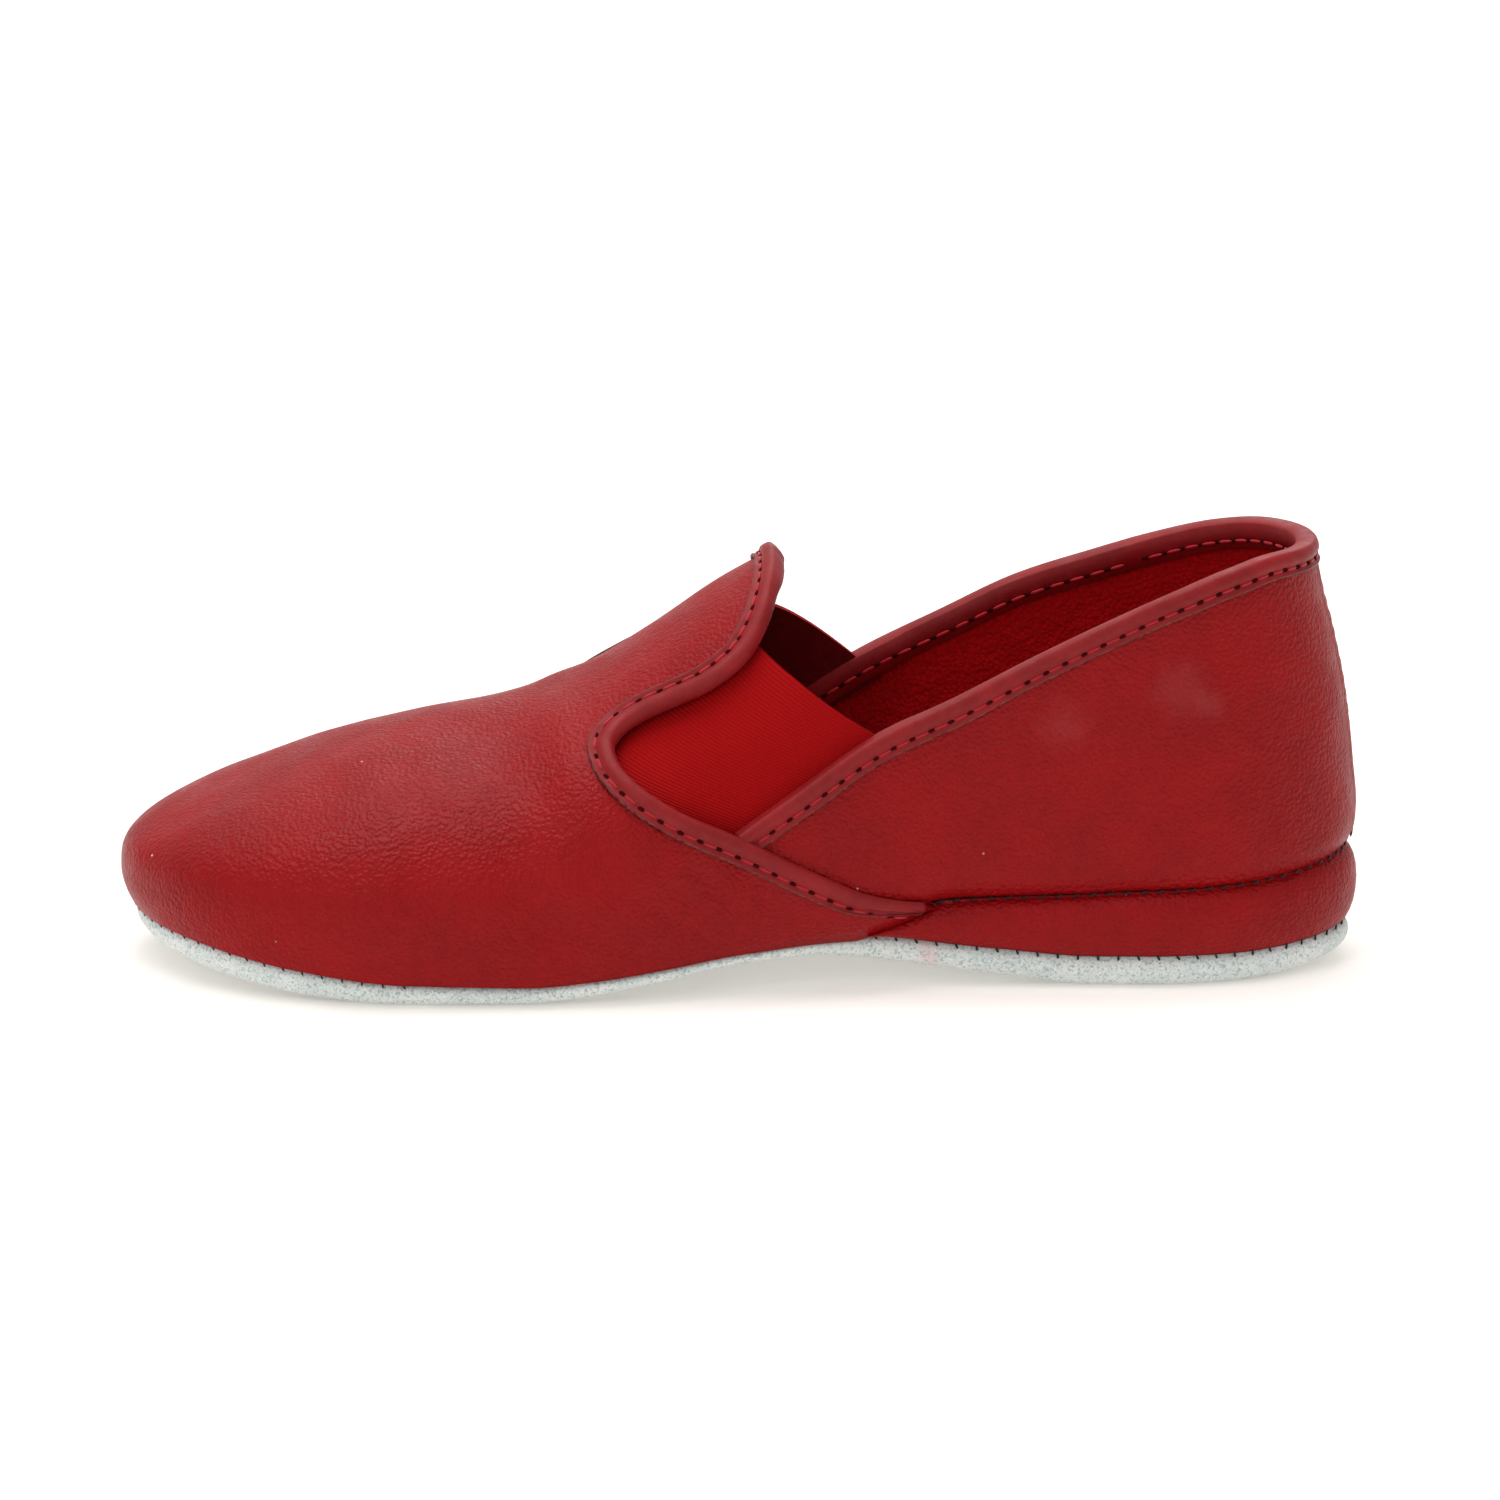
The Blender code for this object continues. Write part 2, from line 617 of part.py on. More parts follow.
def sole_half(side, front, toe=True):
    """Plan points of the sole's edge on one side, from the back of the heel to a front station."""
    points = []
    for k in range(HEEL_STEPS):
        turn = 0.5 * math.pi * k / HEEL_STEPS
        y = along(SWING, HEEL_CENTRE) + side * reach(HEEL_CENTRE, side, True) * math.sin(turn)
        points.append((HEEL_CENTRE - (HEEL_CENTRE - HEEL_OVERHANG) * math.cos(turn), y))
    stations = [row.at * LENGTH for row in TREADS]
    stations += [0.5 * (a + b) for a, b in zip(stations, stations[1:]) if b - a > 0.04 * LENGTH]
    for s in sorted([HEEL_CENTRE] + [s for s in stations if HEEL_CENTRE < s <= min(front, TOE_CENTRE)]):
        points.append((s, along(SWING, s) + side * reach(s, side, True)))
    if toe:
        ahead = LENGTH - VAMP_PROUD - TOE_OVERHANG - TOE_CENTRE
        for k in range(1, TOE_STEPS + 1):
            fan = 0.5 * math.pi * k / TOE_STEPS
            y = along(SWING, TOE_CENTRE) + side * reach(TOE_CENTRE, side, True) * math.cos(fan)
            points.append((TOE_CENTRE + ahead * math.sin(fan), y))
    return points


def inset(plan, amount):
    """A closed plan moved inwards by an amount."""
    ring = np.array(plan)
    ahead = np.roll(ring, -1, axis=0) - np.roll(ring, 1, axis=0)
    normal = np.stack((-ahead[:, 1], ahead[:, 0]), axis=1)
    normal /= np.linalg.norm(normal, axis=1)[:, None]
    centre = ring.mean(axis=0)
    if np.sum(normal * (centre - ring)) < 0:
        normal = -normal
    return ring + normal * amount


def slab(name, collection, outer, inner, levels, blunt):
    """A padded slab: rings at set insets and heights, closed above and below by rungs side to side."""
    plan = outer + (inner[::-1] if blunt else inner[-2::-1])
    plan = plan[:-1]
    count = len(plan)
    points = []
    for amount, height in levels:
        for (s, y), (own_s, _) in zip(inset(plan, amount), plan):
            points.append(place(s, y, height(own_s)))
    faces = tube_faces(len(levels), count)
    half = len(outer)
    for first in (0, (len(levels) - 1) * count):
        for k in range(half - 1):
            ring = [k, k + 1, (count - k - 1) % count, (count - k) % count]
            corners = list(dict.fromkeys(first + index for index in ring))
            if len(corners) > 2:
                faces.append(tuple(corners))
    return new_object(name, collection, points, faces)


def make_sole(collection):
    """Soft sole with a rounded edge, flat under heel and ball."""
    def level(share):
        return lambda s: sole_bottom(s) + share * along(THICK, s)
    levels = [(inset_share * SOLE_ROLL, level(share)) for inset_share, share in SOLE_EDGE]
    return slab("sole", collection, sole_half(-1, LENGTH), sole_half(1, LENGTH), levels, False)


def make_wedge(collection):
    """Covered wedge between quarter and sole, thickest at the back, down to a blunt tip at the waist."""
    def level(share):
        return lambda s: sole_top(s) + GAP + share * (along(WEDGE, s) - GAP)
    levels = [(inset_share * WEDGE_BULGE, level(share)) for inset_share, share in WEDGE_EDGE]
    outer = sole_half(-1, WEDGE_TIP, toe=False)
    inner = sole_half(1, WEDGE_TIP, toe=False)
    return slab("heel_wedge", collection, outer, inner, levels, True)


def make_insole(collection):
    """Fleece sock with a soft top edge, lying on the wedge and on the sole inside the walls."""
    def level(rise):
        return lambda s: sole_top(s) + along(SEAT, s) + 2 * GAP + rise
    levels = [(WALL + SOCK_ROOM + inset_share * INSOLE_THICK, level(share * INSOLE_THICK))
              for inset_share, share in SOCK_EDGE]
    return slab("insole", collection, sole_half(-1, LENGTH), sole_half(1, LENGTH), levels, False)


def material(name, colour, roughness):
    """A Principled material."""
    made = bpy.data.materials.new(name)
    made.use_nodes = True
    shader = made.node_tree.nodes["Principled BSDF"]
    shader.inputs["Base Color"].default_value = (*colour, 1.0)
    shader.inputs["Roughness"].default_value = roughness
    shader.inputs["Metallic"].default_value = 0.0
    made.diffuse_color = (*colour, 1.0)
    return made


FINISHES = {
    "upper": ((0.292, 0.011, 0.012), 0.42),
    "vamp_binding": ((0.262, 0.021, 0.023), 0.50),
    "collar_binding": ((0.262, 0.021, 0.023), 0.50),
    "gore_lateral": ((0.429, 0.005, 0.005), 0.85),
    "gore_medial": ((0.429, 0.005, 0.005), 0.85),
    "heel_wedge": ((0.292, 0.011, 0.012), 0.45),
    "sole": ((0.515, 0.645, 0.658), 0.95),
    "insole": ((0.156, 0.002, 0.002), 1.0),
}


def main():
    for item in list(bpy.data.objects):
        bpy.data.objects.remove(item, do_unlink=True)
    parts = bpy.data.collections.new("slipper")
    tools = bpy.data.collections.new("construction")
    bpy.context.scene.collection.children.link(parts)
    bpy.context.scene.collection.children.link(tools)
    made = [make_upper(parts, tools), make_sole(parts), make_wedge(parts), make_insole(parts),
            make_vamp_binding(parts), make_collar_binding(parts),
            make_gore("gore_lateral", parts, -1), make_gore("gore_medial", parts, 1)]
    for item in made:
        colour, roughness = FINISHES[item.name]
        item.data.materials.append(material(item.name + "_finish", colour, roughness))


main()
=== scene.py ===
import math

import bmesh
import bpy
import numpy as np
from mathutils import Matrix, Vector


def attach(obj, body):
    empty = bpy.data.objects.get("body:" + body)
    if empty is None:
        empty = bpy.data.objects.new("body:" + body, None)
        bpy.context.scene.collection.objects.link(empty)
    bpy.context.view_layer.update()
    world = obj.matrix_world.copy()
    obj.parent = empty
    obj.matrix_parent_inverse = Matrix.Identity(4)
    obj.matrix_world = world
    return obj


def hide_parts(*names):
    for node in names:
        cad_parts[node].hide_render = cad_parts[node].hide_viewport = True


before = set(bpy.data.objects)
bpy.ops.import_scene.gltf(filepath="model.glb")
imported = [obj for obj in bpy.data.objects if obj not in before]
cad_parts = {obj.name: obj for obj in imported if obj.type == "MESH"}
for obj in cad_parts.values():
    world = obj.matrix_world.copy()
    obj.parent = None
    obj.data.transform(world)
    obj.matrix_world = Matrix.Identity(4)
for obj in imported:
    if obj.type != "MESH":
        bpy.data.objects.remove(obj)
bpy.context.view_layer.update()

# Camera
# The picture shows the outer side of a left slipper, toe to the left, from a little above the floor and
# slightly round towards the toe, with a long lens.
AZIMUTH, ELEVATION, ROLL = math.radians(-3.5), math.radians(15.0), math.radians(-0.9)
DISTANCE, LENS, SENSOR, IMAGE = 4.5, 518.4, 36.0, 1500.0
MIDDLE_AT = (738.2, 950.5)          # where the middle of the sole's tread shows in the picture
back = Vector((math.sin(AZIMUTH) * math.cos(ELEVATION), -math.cos(AZIMUTH) * math.cos(ELEVATION),
               math.sin(ELEVATION)))
right = Vector((math.cos(AZIMUTH), math.sin(AZIMUTH), 0.0))
pixel = DISTANCE * SENSOR / LENS / IMAGE
up = back.cross(right)
right, up = right * math.cos(ROLL) - up * math.sin(ROLL), up * math.cos(ROLL) + right * math.sin(ROLL)
aim = right * (0.5 * IMAGE - MIDDLE_AT[0]) * pixel + up * (MIDDLE_AT[1] - 0.5 * IMAGE) * pixel
eye = bpy.data.objects.new("camera", bpy.data.cameras.new("camera"))
eye.data.lens, eye.data.sensor_width = LENS, SENSOR
eye.data.clip_start, eye.data.clip_end = 0.05, 20.0
eye.location = aim + back * DISTANCE
eye.rotation_euler = Matrix((right, up, back)).transposed().to_euler()
bpy.context.scene.collection.objects.link(eye)
bpy.context.scene.camera = eye

# Floor and light
# A warm white table, lit a little from below, that runs on into a white room, with a wide soft light
# overhead and weaker ones from both sides.
TABLE, TABLE_GLOW, GLOW_STRENGTH = (0.80, 0.77, 0.74, 1.0), (1.0, 0.95, 0.90, 1.0), 0.30
TABLE_SIZE, ROOM_LIGHT = 8.0, 0.68
bpy.ops.mesh.primitive_plane_add(size=TABLE_SIZE)
floor = bpy.context.object
floor.name = "floor"
floor_paint = bpy.data.materials.new("floor_paint")
floor_paint.use_nodes = True
paint = floor_paint.node_tree.nodes["Principled BSDF"]
paint.inputs["Base Color"].default_value = TABLE
paint.inputs["Roughness"].default_value = 0.9
paint.inputs["Specular IOR Level"].default_value = 0.1
paint.inputs["Emission Color"].default_value = TABLE_GLOW
paint.inputs["Emission Strength"].default_value = GLOW_STRENGTH
floor.data.materials.append(floor_paint)
room = bpy.data.worlds.new("room")
room.use_nodes = True
room.node_tree.nodes["Background"].inputs["Color"].default_value = (1.0, 1.0, 1.0, 1.0)
room.node_tree.nodes["Background"].inputs["Strength"].default_value = ROOM_LIGHT
bpy.context.scene.world = room
bpy.context.scene.view_settings.view_transform = "Standard"
SHOE_MIDDLE = Vector((0, 0, 0.04))
for name, place_at, size, power in (("overhead", (-0.15, 0.10, 1.10), 0.9, 10.8),
                                    ("front", (-0.6, -1.2, 0.75), 0.7, 2.2),
                                    ("rear", (0.3, 1.3, 0.9), 0.8, 4.5)):
    lamp = bpy.data.lights.new(name, "AREA")
    lamp.energy, lamp.size = power, size
    holder = bpy.data.objects.new(name, lamp)
    holder.location = place_at
    holder.visible_camera = False
    holder.rotation_euler = (SHOE_MIDDLE - Vector(place_at)).to_track_quat("-Z", "Y").to_euler()
    bpy.context.scene.collection.objects.link(holder)

# Vamp
# The front of the upper with its tongue: one piece of smooth red leather drawn over the last, lying about a
# millimetre over the quarter. Stations run forward from the back of the heel; half widths and heights are
# shares of the shoe's named sizes.
LENGTH, BALL, HEEL, INSTEP, BACK = 0.257, 0.0925, 0.063, 0.0865, 0.0903
SWING, WALL, PROUD, OVERHANG = 0.003, 0.0022, 0.001, 0.0022
LEATHER, HAIR_GAP, TOE_POWER = 0.0011, 0.0002, 3.9
HEEL_CENTRE, TOE_CENTRE, MID = 0.175 * LENGTH, 0.778 * LENGTH, 0.5 * LENGTH


def cubic(stations, values):
    """Smooth curve through values at stations that never overshoots: a cubic with harmonic mean slopes."""
    x, y = np.asarray(stations, float), np.asarray(values, float)
    steep = np.diff(y) / np.diff(x)
    product = steep[:-1] * steep[1:]
    slope = np.concatenate(([steep[0]], np.zeros(len(x) - 2), [steep[-1]]))
    same = product > 0
    slope[1:-1][same] = 2 * product[same] / (steep[:-1] + steep[1:])[same]

    def read(at):
        """The cubic between the two stations round each place."""
        at = np.clip(np.asarray(at, float), x[0], x[-1])
        k = np.clip(np.searchsorted(x, at, side="right") - 1, 0, len(x) - 2)
        run = x[k + 1] - x[k]
        t = (at - x[k]) / run
        return ((1 + 2 * t) * (1 - t) ** 2 * y[k] + t * (1 - t) ** 2 * run * slope[k]
                + t * t * (3 - 2 * t) * y[k + 1] - t * t * (1 - t) * run * slope[k + 1])
    return read


# station share, size, outer, inner, sole outer, sole inner
widths = np.array((
    (0.175, HEEL, 0.500, 0.500, 0.480, 0.480), (0.300, HEEL, 0.505, 0.492, 0.468, 0.452),
    (0.400, BALL, 0.372, 0.346, 0.308, 0.282), (0.448, BALL, 0.388, 0.356, 0.334, 0.292),
    (0.521, BALL, 0.420, 0.392, 0.400, 0.338), (0.572, BALL, 0.452, 0.428, 0.444, 0.388),
    (0.623, BALL, 0.481, 0.462, 0.474, 0.436), (0.669, BALL, 0.495, 0.487, 0.487, 0.468),
    (0.724, BALL, 0.500, 0.499, 0.491, 0.484), (0.778, BALL, 0.497, 0.500, 0.487, 0.486)))
half = {key: cubic(widths[:, 0] * LENGTH, widths[:, 1] * widths[:, 2 + n])
        for n, key in enumerate(((-1, False), (1, False), (-1, True), (1, True)))}
# station share, ridge, widest line, power of the section, share of the swing
heights = np.array((
    (0.175, 1.600, 0.360, 2.2, 0.0), (0.300, 1.550, 0.330, 2.2, 0.1), (0.400, 1.300, 0.300, 2.2, 0.3),
    (0.448, 1.075, 0.300, 2.3, 0.5), (0.475, 0.978, 0.295, 2.3, 0.6), (0.521, 0.885, 0.277, 2.3, 0.8),
    (0.572, 0.774, 0.254, 2.2, 1.0), (0.623, 0.677, 0.231, 2.2, 1.0), (0.669, 0.617, 0.214, 2.2, 1.0),
    (0.724, 0.580, 0.202, 2.2, 1.0), (0.778, 0.541, 0.197, 2.2, 1.0), (0.880, 0.440, 0.200, 2.2, 1.0),
    (1.000, 0.325, 0.205, 2.2, 1.0)))
crown = cubic(heights[:, 0] * LENGTH, heights[:, 1] * INSTEP)
widest = cubic(heights[:, 0] * LENGTH, heights[:, 2] * INSTEP)
squareness = cubic(heights[:, 0] * LENGTH, heights[:, 3])
swing = cubic(heights[:, 0] * LENGTH, heights[:, 4] * SWING)
# height share of the back, set-back as a share of the length
backs = np.array(((0.200, 0.0110), (0.280, 0.0050), (0.360, 0.0030), (0.450, 0.0058), (0.576, 0.0105),
                  (0.664, 0.0155), (0.720, 0.0198), (0.800, 0.0265), (0.860, 0.0325), (0.930, 0.0375),
                  (1.000, 0.0425)))
setback = cubic(backs[:, 0] * BACK, backs[:, 1] * LENGTH)
# station share, then arch, toe spring, thickness of the sole, wedge and seat of the insole
SOLE_THICK, ARCH, SPRING, WEDGE = 0.0065, 0.0056, 0.006, 0.0164
treads = np.array((
    (0.000, 0.40, 0.00, 0.86, 1.000, 1.000), (0.100, 0.00, 0.00, 1.00, 0.900, 0.900),
    (0.218, 0.00, 0.00, 1.00, 0.820, 0.820), (0.300, 0.38, 0.00, 0.92, 0.665, 0.665),
    (0.342, 0.62, 0.00, 0.87, 0.555, 0.565), (0.374, 0.80, 0.00, 0.86, 0.270, 0.430),
    (0.402, 0.96, 0.00, 0.82, 0.050, 0.300), (0.410, 1.00, 0.00, 0.77, 0.000, 0.270),
    (0.448, 1.18, 0.00, 0.57, 0.000, 0.150), (0.500, 1.10, 0.00, 0.50, 0.000, 0.060),
    (0.572, 0.64, 0.00, 0.56, 0.000, 0.000), (0.635, 0.22, 0.00, 0.64, 0.000, 0.000),
    (0.685, 0.00, 0.00, 0.72, 0.000, 0.000), (0.778, 0.00, 0.00, 0.80, 0.000, 0.000),
    (0.864, 0.00, 0.18, 0.96, 0.000, 0.000), (0.938, 0.00, 0.52, 1.04, 0.000, 0.000),
    (1.000, 0.00, 1.00, 0.86, 0.000, 0.000)))
tread_at = treads[:, 0] * LENGTH
sole_low = cubic(tread_at, treads[:, 1] * ARCH + treads[:, 2] * SPRING)
sole_thick = cubic(tread_at, treads[:, 3] * SOLE_THICK)
wedge_high = cubic(tread_at, treads[:, 4] * WEDGE)
seat_high = cubic(tread_at, treads[:, 5] * WEDGE)
# height share of the instep, station share: the vamp's rear edge from the wedge up to the tongue
edge_rows = np.array(((0.215, 0.357), (0.227, 0.384), (0.246, 0.410), (0.272, 0.430), (0.310, 0.457),
                      (0.361, 0.490), (0.396, 0.514), (0.453, 0.557), (0.518, 0.594), (0.560, 0.609),
                      (0.594, 0.613), (0.628, 0.604), (0.662, 0.586), (0.696, 0.562), (0.743, 0.531),
                      (0.815, 0.501), (0.890, 0.486), (0.960, 0.477), (1.000, 0.473)))
rear_edge = cubic(edge_rows[:, 0] * INSTEP, edge_rows[:, 1] * LENGTH)


def sole_top(s):
    """Upper face of the sole: its tread plus its thickness."""
    return sole_low(s) + sole_thick(s)


def upper_low(s):
    """Lower edge of the leather, on the wedge or on the sole, with a hair's gap."""
    return sole_top(s) + wedge_high(s) + HAIR_GAP


def reach(s, side, sole=False):
    """Distance from the ridge line out to the widest line of the skin, or to the sole's edge."""
    return half[(side, sole)](s) - side * swing(s)


def reach_at(s, z, side):
    """Distance out to the skin at a height: a rounded arch above the widest line, a soft tuck below it."""
    full, middle, power = reach(s, side), widest(s), squareness(s)
    rise = np.clip((z - middle) / (crown(s) - middle), 0.0, 1.0)
    drop = np.clip((middle - z) / (middle - upper_low(s)), 0.0, 1.5)
    arch = full * (1.0 - rise ** power) ** (1.0 / power)
    return np.where(z >= middle, arch, full - (full - reach(s, side, True)) * drop * drop)


def side_point(side, s, z):
    """Skin at a station and a height on one side."""
    return np.stack(np.broadcast_arrays(MID - s, swing(s) + side * reach_at(s, z, side), z), -1)


def arch_turn(s, z, side):
    """Turn over the arch: -1 at the lower edge, 0 at the widest line, 1 at the ridge."""
    middle = widest(s)
    rise, width = (z - middle) / (crown(s) - middle), reach_at(s, z, side) / reach(s, side)
    up = np.arctan2(rise, width) / (0.5 * np.pi)
    return np.where(z < middle, -(middle - z) / (middle - upper_low(s)), up)


def arch_point(side, turn, s, fan):
    """Skin of the vamp at a turn over the arch, at a station, or at a fan angle round the toe."""
    wide, foot = reach(s, side), reach(s, side, True)
    ahead = np.where(fan > 0, LENGTH - PROUD - TOE_CENTRE, 0.0)
    power = squareness(s) + (TOE_POWER - squareness(s)) * np.sin(fan) ** 2
    angle = 0.5 * np.pi * np.clip(turn, 0.0, 1.0)
    norm = (np.maximum(np.cos(angle), 0) ** power + np.sin(angle) ** power) ** (1.0 / power)
    ahead_share = (LENGTH - PROUD - TOE_CENTRE - OVERHANG) / (LENGTH - PROUD - TOE_CENTRE)
    shrink = foot / wide * np.cos(fan) ** 2 + ahead_share * np.sin(fan) ** 2
    out = np.where(turn >= 0, np.maximum(np.cos(angle), 0) / norm, 1 - (1 - shrink) * turn * turn)
    up = np.where(turn >= 0, np.sin(angle) / norm, turn)
    station = s + ahead * np.sin(fan) * out
    middle = widest(station)
    tall = np.where(up >= 0, crown(station) - middle, middle - upper_low(station))
    y = swing(s) + side * wide * np.cos(fan) * out
    return np.stack(np.broadcast_arrays(MID - station, y, middle + tall * up), -1)


def lengths_along(points):
    """Length travelled along a run up to each of its points."""
    return np.concatenate(([0.0], np.cumsum(np.linalg.norm(np.diff(points, axis=0), axis=1))))


def even(points, count):
    """The same run of points with even distances between them."""
    travelled = lengths_along(points)
    wanted = np.linspace(0.0, travelled[-1], count)
    return np.stack([np.interp(wanted, travelled, points[:, k]) for k in range(points.shape[1])], 1)


# The tongue reaches further back on its inner side: by how much, at what height, over what spread
TONGUE_LEAN, LEAN_AT, LEAN_SPREAD = 0.0060, 0.865 * INSTEP, 0.060 * INSTEP


def edge_run(side, count):
    """Rear edge of the vamp on one side: points, stations and heights, from the wedge up to the ridge."""
    z = INSTEP * (edge_rows[0, 0] + (1 - edge_rows[0, 0]) * (1 - (1 - np.linspace(0, 1, 1500)) ** 1.5))
    lean = TONGUE_LEAN * np.exp(-((z - LEAN_AT) / LEAN_SPREAD) ** 2)
    s = rear_edge(z) - (lean if side > 0 else 0.0)
    z = np.minimum(z, crown(s))
    run = even(np.column_stack((side_point(side, s, z), s, z)), count)
    return run[:, :3], run[:, 3], run[:, 4]


def unit(vectors):
    """The same directions with length 1."""
    return vectors / np.linalg.norm(vectors, axis=-1, keepdims=True)


def outward(grid):
    """Unit normals of a grid of points, from the cross product of its two directions."""
    across, down = np.gradient(grid, axis=1), np.gradient(grid, axis=0)
    normal = np.cross(across, down)
    length = np.linalg.norm(normal, axis=2, keepdims=True)
    return normal / np.maximum(length, 1e-12)


def lattice(points, size, seed):
    """Smooth random field between -1 and 1: values at the corners of cubes, blended inside each cube."""
    cell = points / size
    low = np.floor(cell).astype(np.int64)
    part = cell - low
    part = part * part * (3 - 2 * part)
    total = np.zeros(points.shape[:-1])
    for corner in range(8):
        step = np.array([(corner >> k) & 1 for k in range(3)])
        key = low + step
        mixed = (key[..., 0] * 73856093) ^ (key[..., 1] * 19349663)
        mixed = mixed ^ (key[..., 2] * 83492791) ^ (seed * 2654435)
        mixed = (mixed ^ (mixed >> 13)) * 1274126177 & 0x7fffffff
        weight = np.prod(np.where(step, part, 1 - part), axis=-1)
        total += weight * ((mixed >> 7) % 65536 / 32767.5 - 1.0)
    return total


def mesh_piece(name, points, faces, merge=0.0):
    """A smooth mesh object at the origin from an array of points and one or more arrays of faces."""
    mesh = bpy.data.meshes.new(name)
    rows = []
    for block in faces if isinstance(faces, list) else [faces]:
        rows += block.tolist()
    mesh.from_pydata(points.reshape(-1, 3).tolist(), [], rows)
    piece = bpy.data.objects.new(name, mesh)
    bpy.context.scene.collection.objects.link(piece)
    if merge:
        work = bmesh.new()
        work.from_mesh(mesh)
        bmesh.ops.remove_doubles(work, verts=work.verts, dist=merge)
        bmesh.ops.dissolve_degenerate(work, edges=work.edges, dist=merge * 0.5)
        work.to_mesh(mesh)
        work.free()
    mesh.shade_smooth()
    mesh.update()
    return piece


def cover(piece, material):
    """Adds a material to a piece."""
    piece.data.materials.append(material)


def quads(rows, columns, first=0, turned=False, closed=False):
    """Faces of a grid stored row by row, closed round its columns where asked."""
    wide = columns if closed else columns - 1
    row, column = np.meshgrid(np.arange(rows - 1), np.arange(wide), indexing="ij")
    after = (column + 1) % columns
    corner = np.stack((row * columns + column, row * columns + after,
                       (row + 1) * columns + after, (row + 1) * columns + column), -1).reshape(-1, 4) + first
    return corner[:, ::-1] if turned else corner


def walled(piece, thick):
    """Leather thickness under an outer face."""
    shell = piece.modifiers.new("wall", "SOLIDIFY")
    shell.thickness, shell.offset, shell.use_rim = thick, -1.0, True
    return piece


# Soft troughs and ridges: side, two ends as station and height in millimetres, depth, width in millimetres
CREASES = (
    (-1, 184, 46, 172, 18, -1.6, 8.0), (-1, 178, 50, 158, 30, -0.85, 6.0), (-1, 197, 40, 192, 14, -0.6, 7.0),
    (-1, 168, 55, 164, 38, 0.7, 5.0), (-1, 150, 22, 138, 12, -0.6, 3.0), (-1, 144, 24, 133, 13, -0.5, 2.2),
    (-1, 139, 28, 128, 15, -0.45, 2.0), (-1, 205, 42, 208, 16, 0.50, 7.0), (-1, 132, 30, 118, 14, -0.4, 2.6),
    (1, 182, 46, 170, 18, -0.8, 9.0), (1, 196, 40, 188, 14, -0.45, 7.0), (1, 150, 24, 136, 12, -0.45, 3.0),
    (1, 166, 54, 160, 34, 0.4, 5.0), (1, 142, 26, 130, 14, -0.35, 2.2))


def creased(points, side, rows):
    """Sum of soft grooves: each is a bell-shaped dip round the segment between its two ends."""
    flat = np.stack((MID - points[..., 0], points[..., 2]), -1) * 1000
    total = np.zeros(points.shape[:-1])
    for own, s0, z0, s1, z1, depth, width in rows:
        if own != side:
            continue
        start, way = np.array((s0, z0)), np.array((s1 - s0, z1 - z0))
        share = np.clip(((flat - start) @ way) / (way @ way), 0.0, 1.0)
        away = np.linalg.norm(flat - start - share[..., None] * way, axis=-1)
        total += depth * 0.001 * np.exp(-(away / width) ** 2)
    return total


def blend(value, start, end):
    """Smooth step from 0 at the start to 1 at the end."""
    share = np.clip((value - start) / (end - start), 0, 1)
    return share * share * (3 - 2 * share)


VAMP_ROWS, TUCK_ROWS, VAMP_COLUMNS, TOE_COLUMNS = 88, 16, 84, 44
EDGE_START = 0.350 * LENGTH


def vamp_grid(side, offset):
    """Rows from the rear edge to the middle of the toe, lower edge first, moved out by an offset."""
    _, stations, levels = edge_run(side, VAMP_ROWS + 1)
    row = np.arange(VAMP_ROWS + 1)
    climb = np.clip((row - TUCK_ROWS) / (VAMP_ROWS - TUCK_ROWS), 0, 1)
    front = np.where(row <= TUCK_ROWS, -1 + row / TUCK_ROWS, 1 - (1 - climb) ** 1.5)
    rear = arch_turn(stations, levels, side)
    rear[0], stations[0], rear[-1] = -1.0, EDGE_START, 1.0
    share = np.linspace(0, 1, VAMP_COLUMNS + 1)[None, :]
    s = stations[:, None] + (TOE_CENTRE - stations[:, None]) * share
    turn = rear[:, None] + (front - rear)[:, None] * (1 - (1 - share) ** 1.8)
    fan = 0.5 * np.pi * np.linspace(0, 1, TOE_COLUMNS + 1)[None, 1:]
    s = np.concatenate((s, np.full((VAMP_ROWS + 1, TOE_COLUMNS), TOE_CENTRE)), 1)
    turn = np.concatenate((turn, np.repeat(front[:, None], TOE_COLUMNS, 1)), 1)
    fan = np.concatenate((np.zeros((VAMP_ROWS + 1, VAMP_COLUMNS + 1)), np.repeat(fan, VAMP_ROWS + 1, 0)), 1)
    grid = arch_point(side, turn, s, fan)
    normal = outward(grid) * side
    normal[-1] = unit(normal[-2] * (1, 0.0, 1))
    normal[-1, VAMP_COLUMNS:] = normal[-1, VAMP_COLUMNS]
    normal[:, -1, 1] = 0.0
    normal[:, -1] = unit(normal[:, -1])
    return grid + normal * offset, normal


RIDGE_FADE, FOOT_SHARE, REAR_COLUMNS = 0.016, 6, 8


def settled_leather(grid, side):
    """Creases times smooth steps from 0 to 1 off the ridge, the lower edge and the binding; and the fade."""
    off_ridge = blend(np.abs(grid[..., 1] - swing(MID - grid[..., 0])), 0.0, RIDGE_FADE)
    up_from_foot = np.clip(np.linspace(0, FOOT_SHARE, grid.shape[0])[:, None], 0, 1)
    fade = up_from_foot * np.clip(np.arange(grid.shape[1])[None, :] / REAR_COLUMNS, 0, 1)
    return creased(grid, side, CREASES) * off_ridge * fade, fade


def close_middle(grids):
    """Brings both sides' points on the ridge and down the front of the toe to the mean of the two."""
    for edge in ((-1, slice(None)), (slice(None), -1)):
        middle = 0.5 * (grids[0][edge] + grids[1][edge])
        grids[0][edge], grids[1][edge] = middle, middle


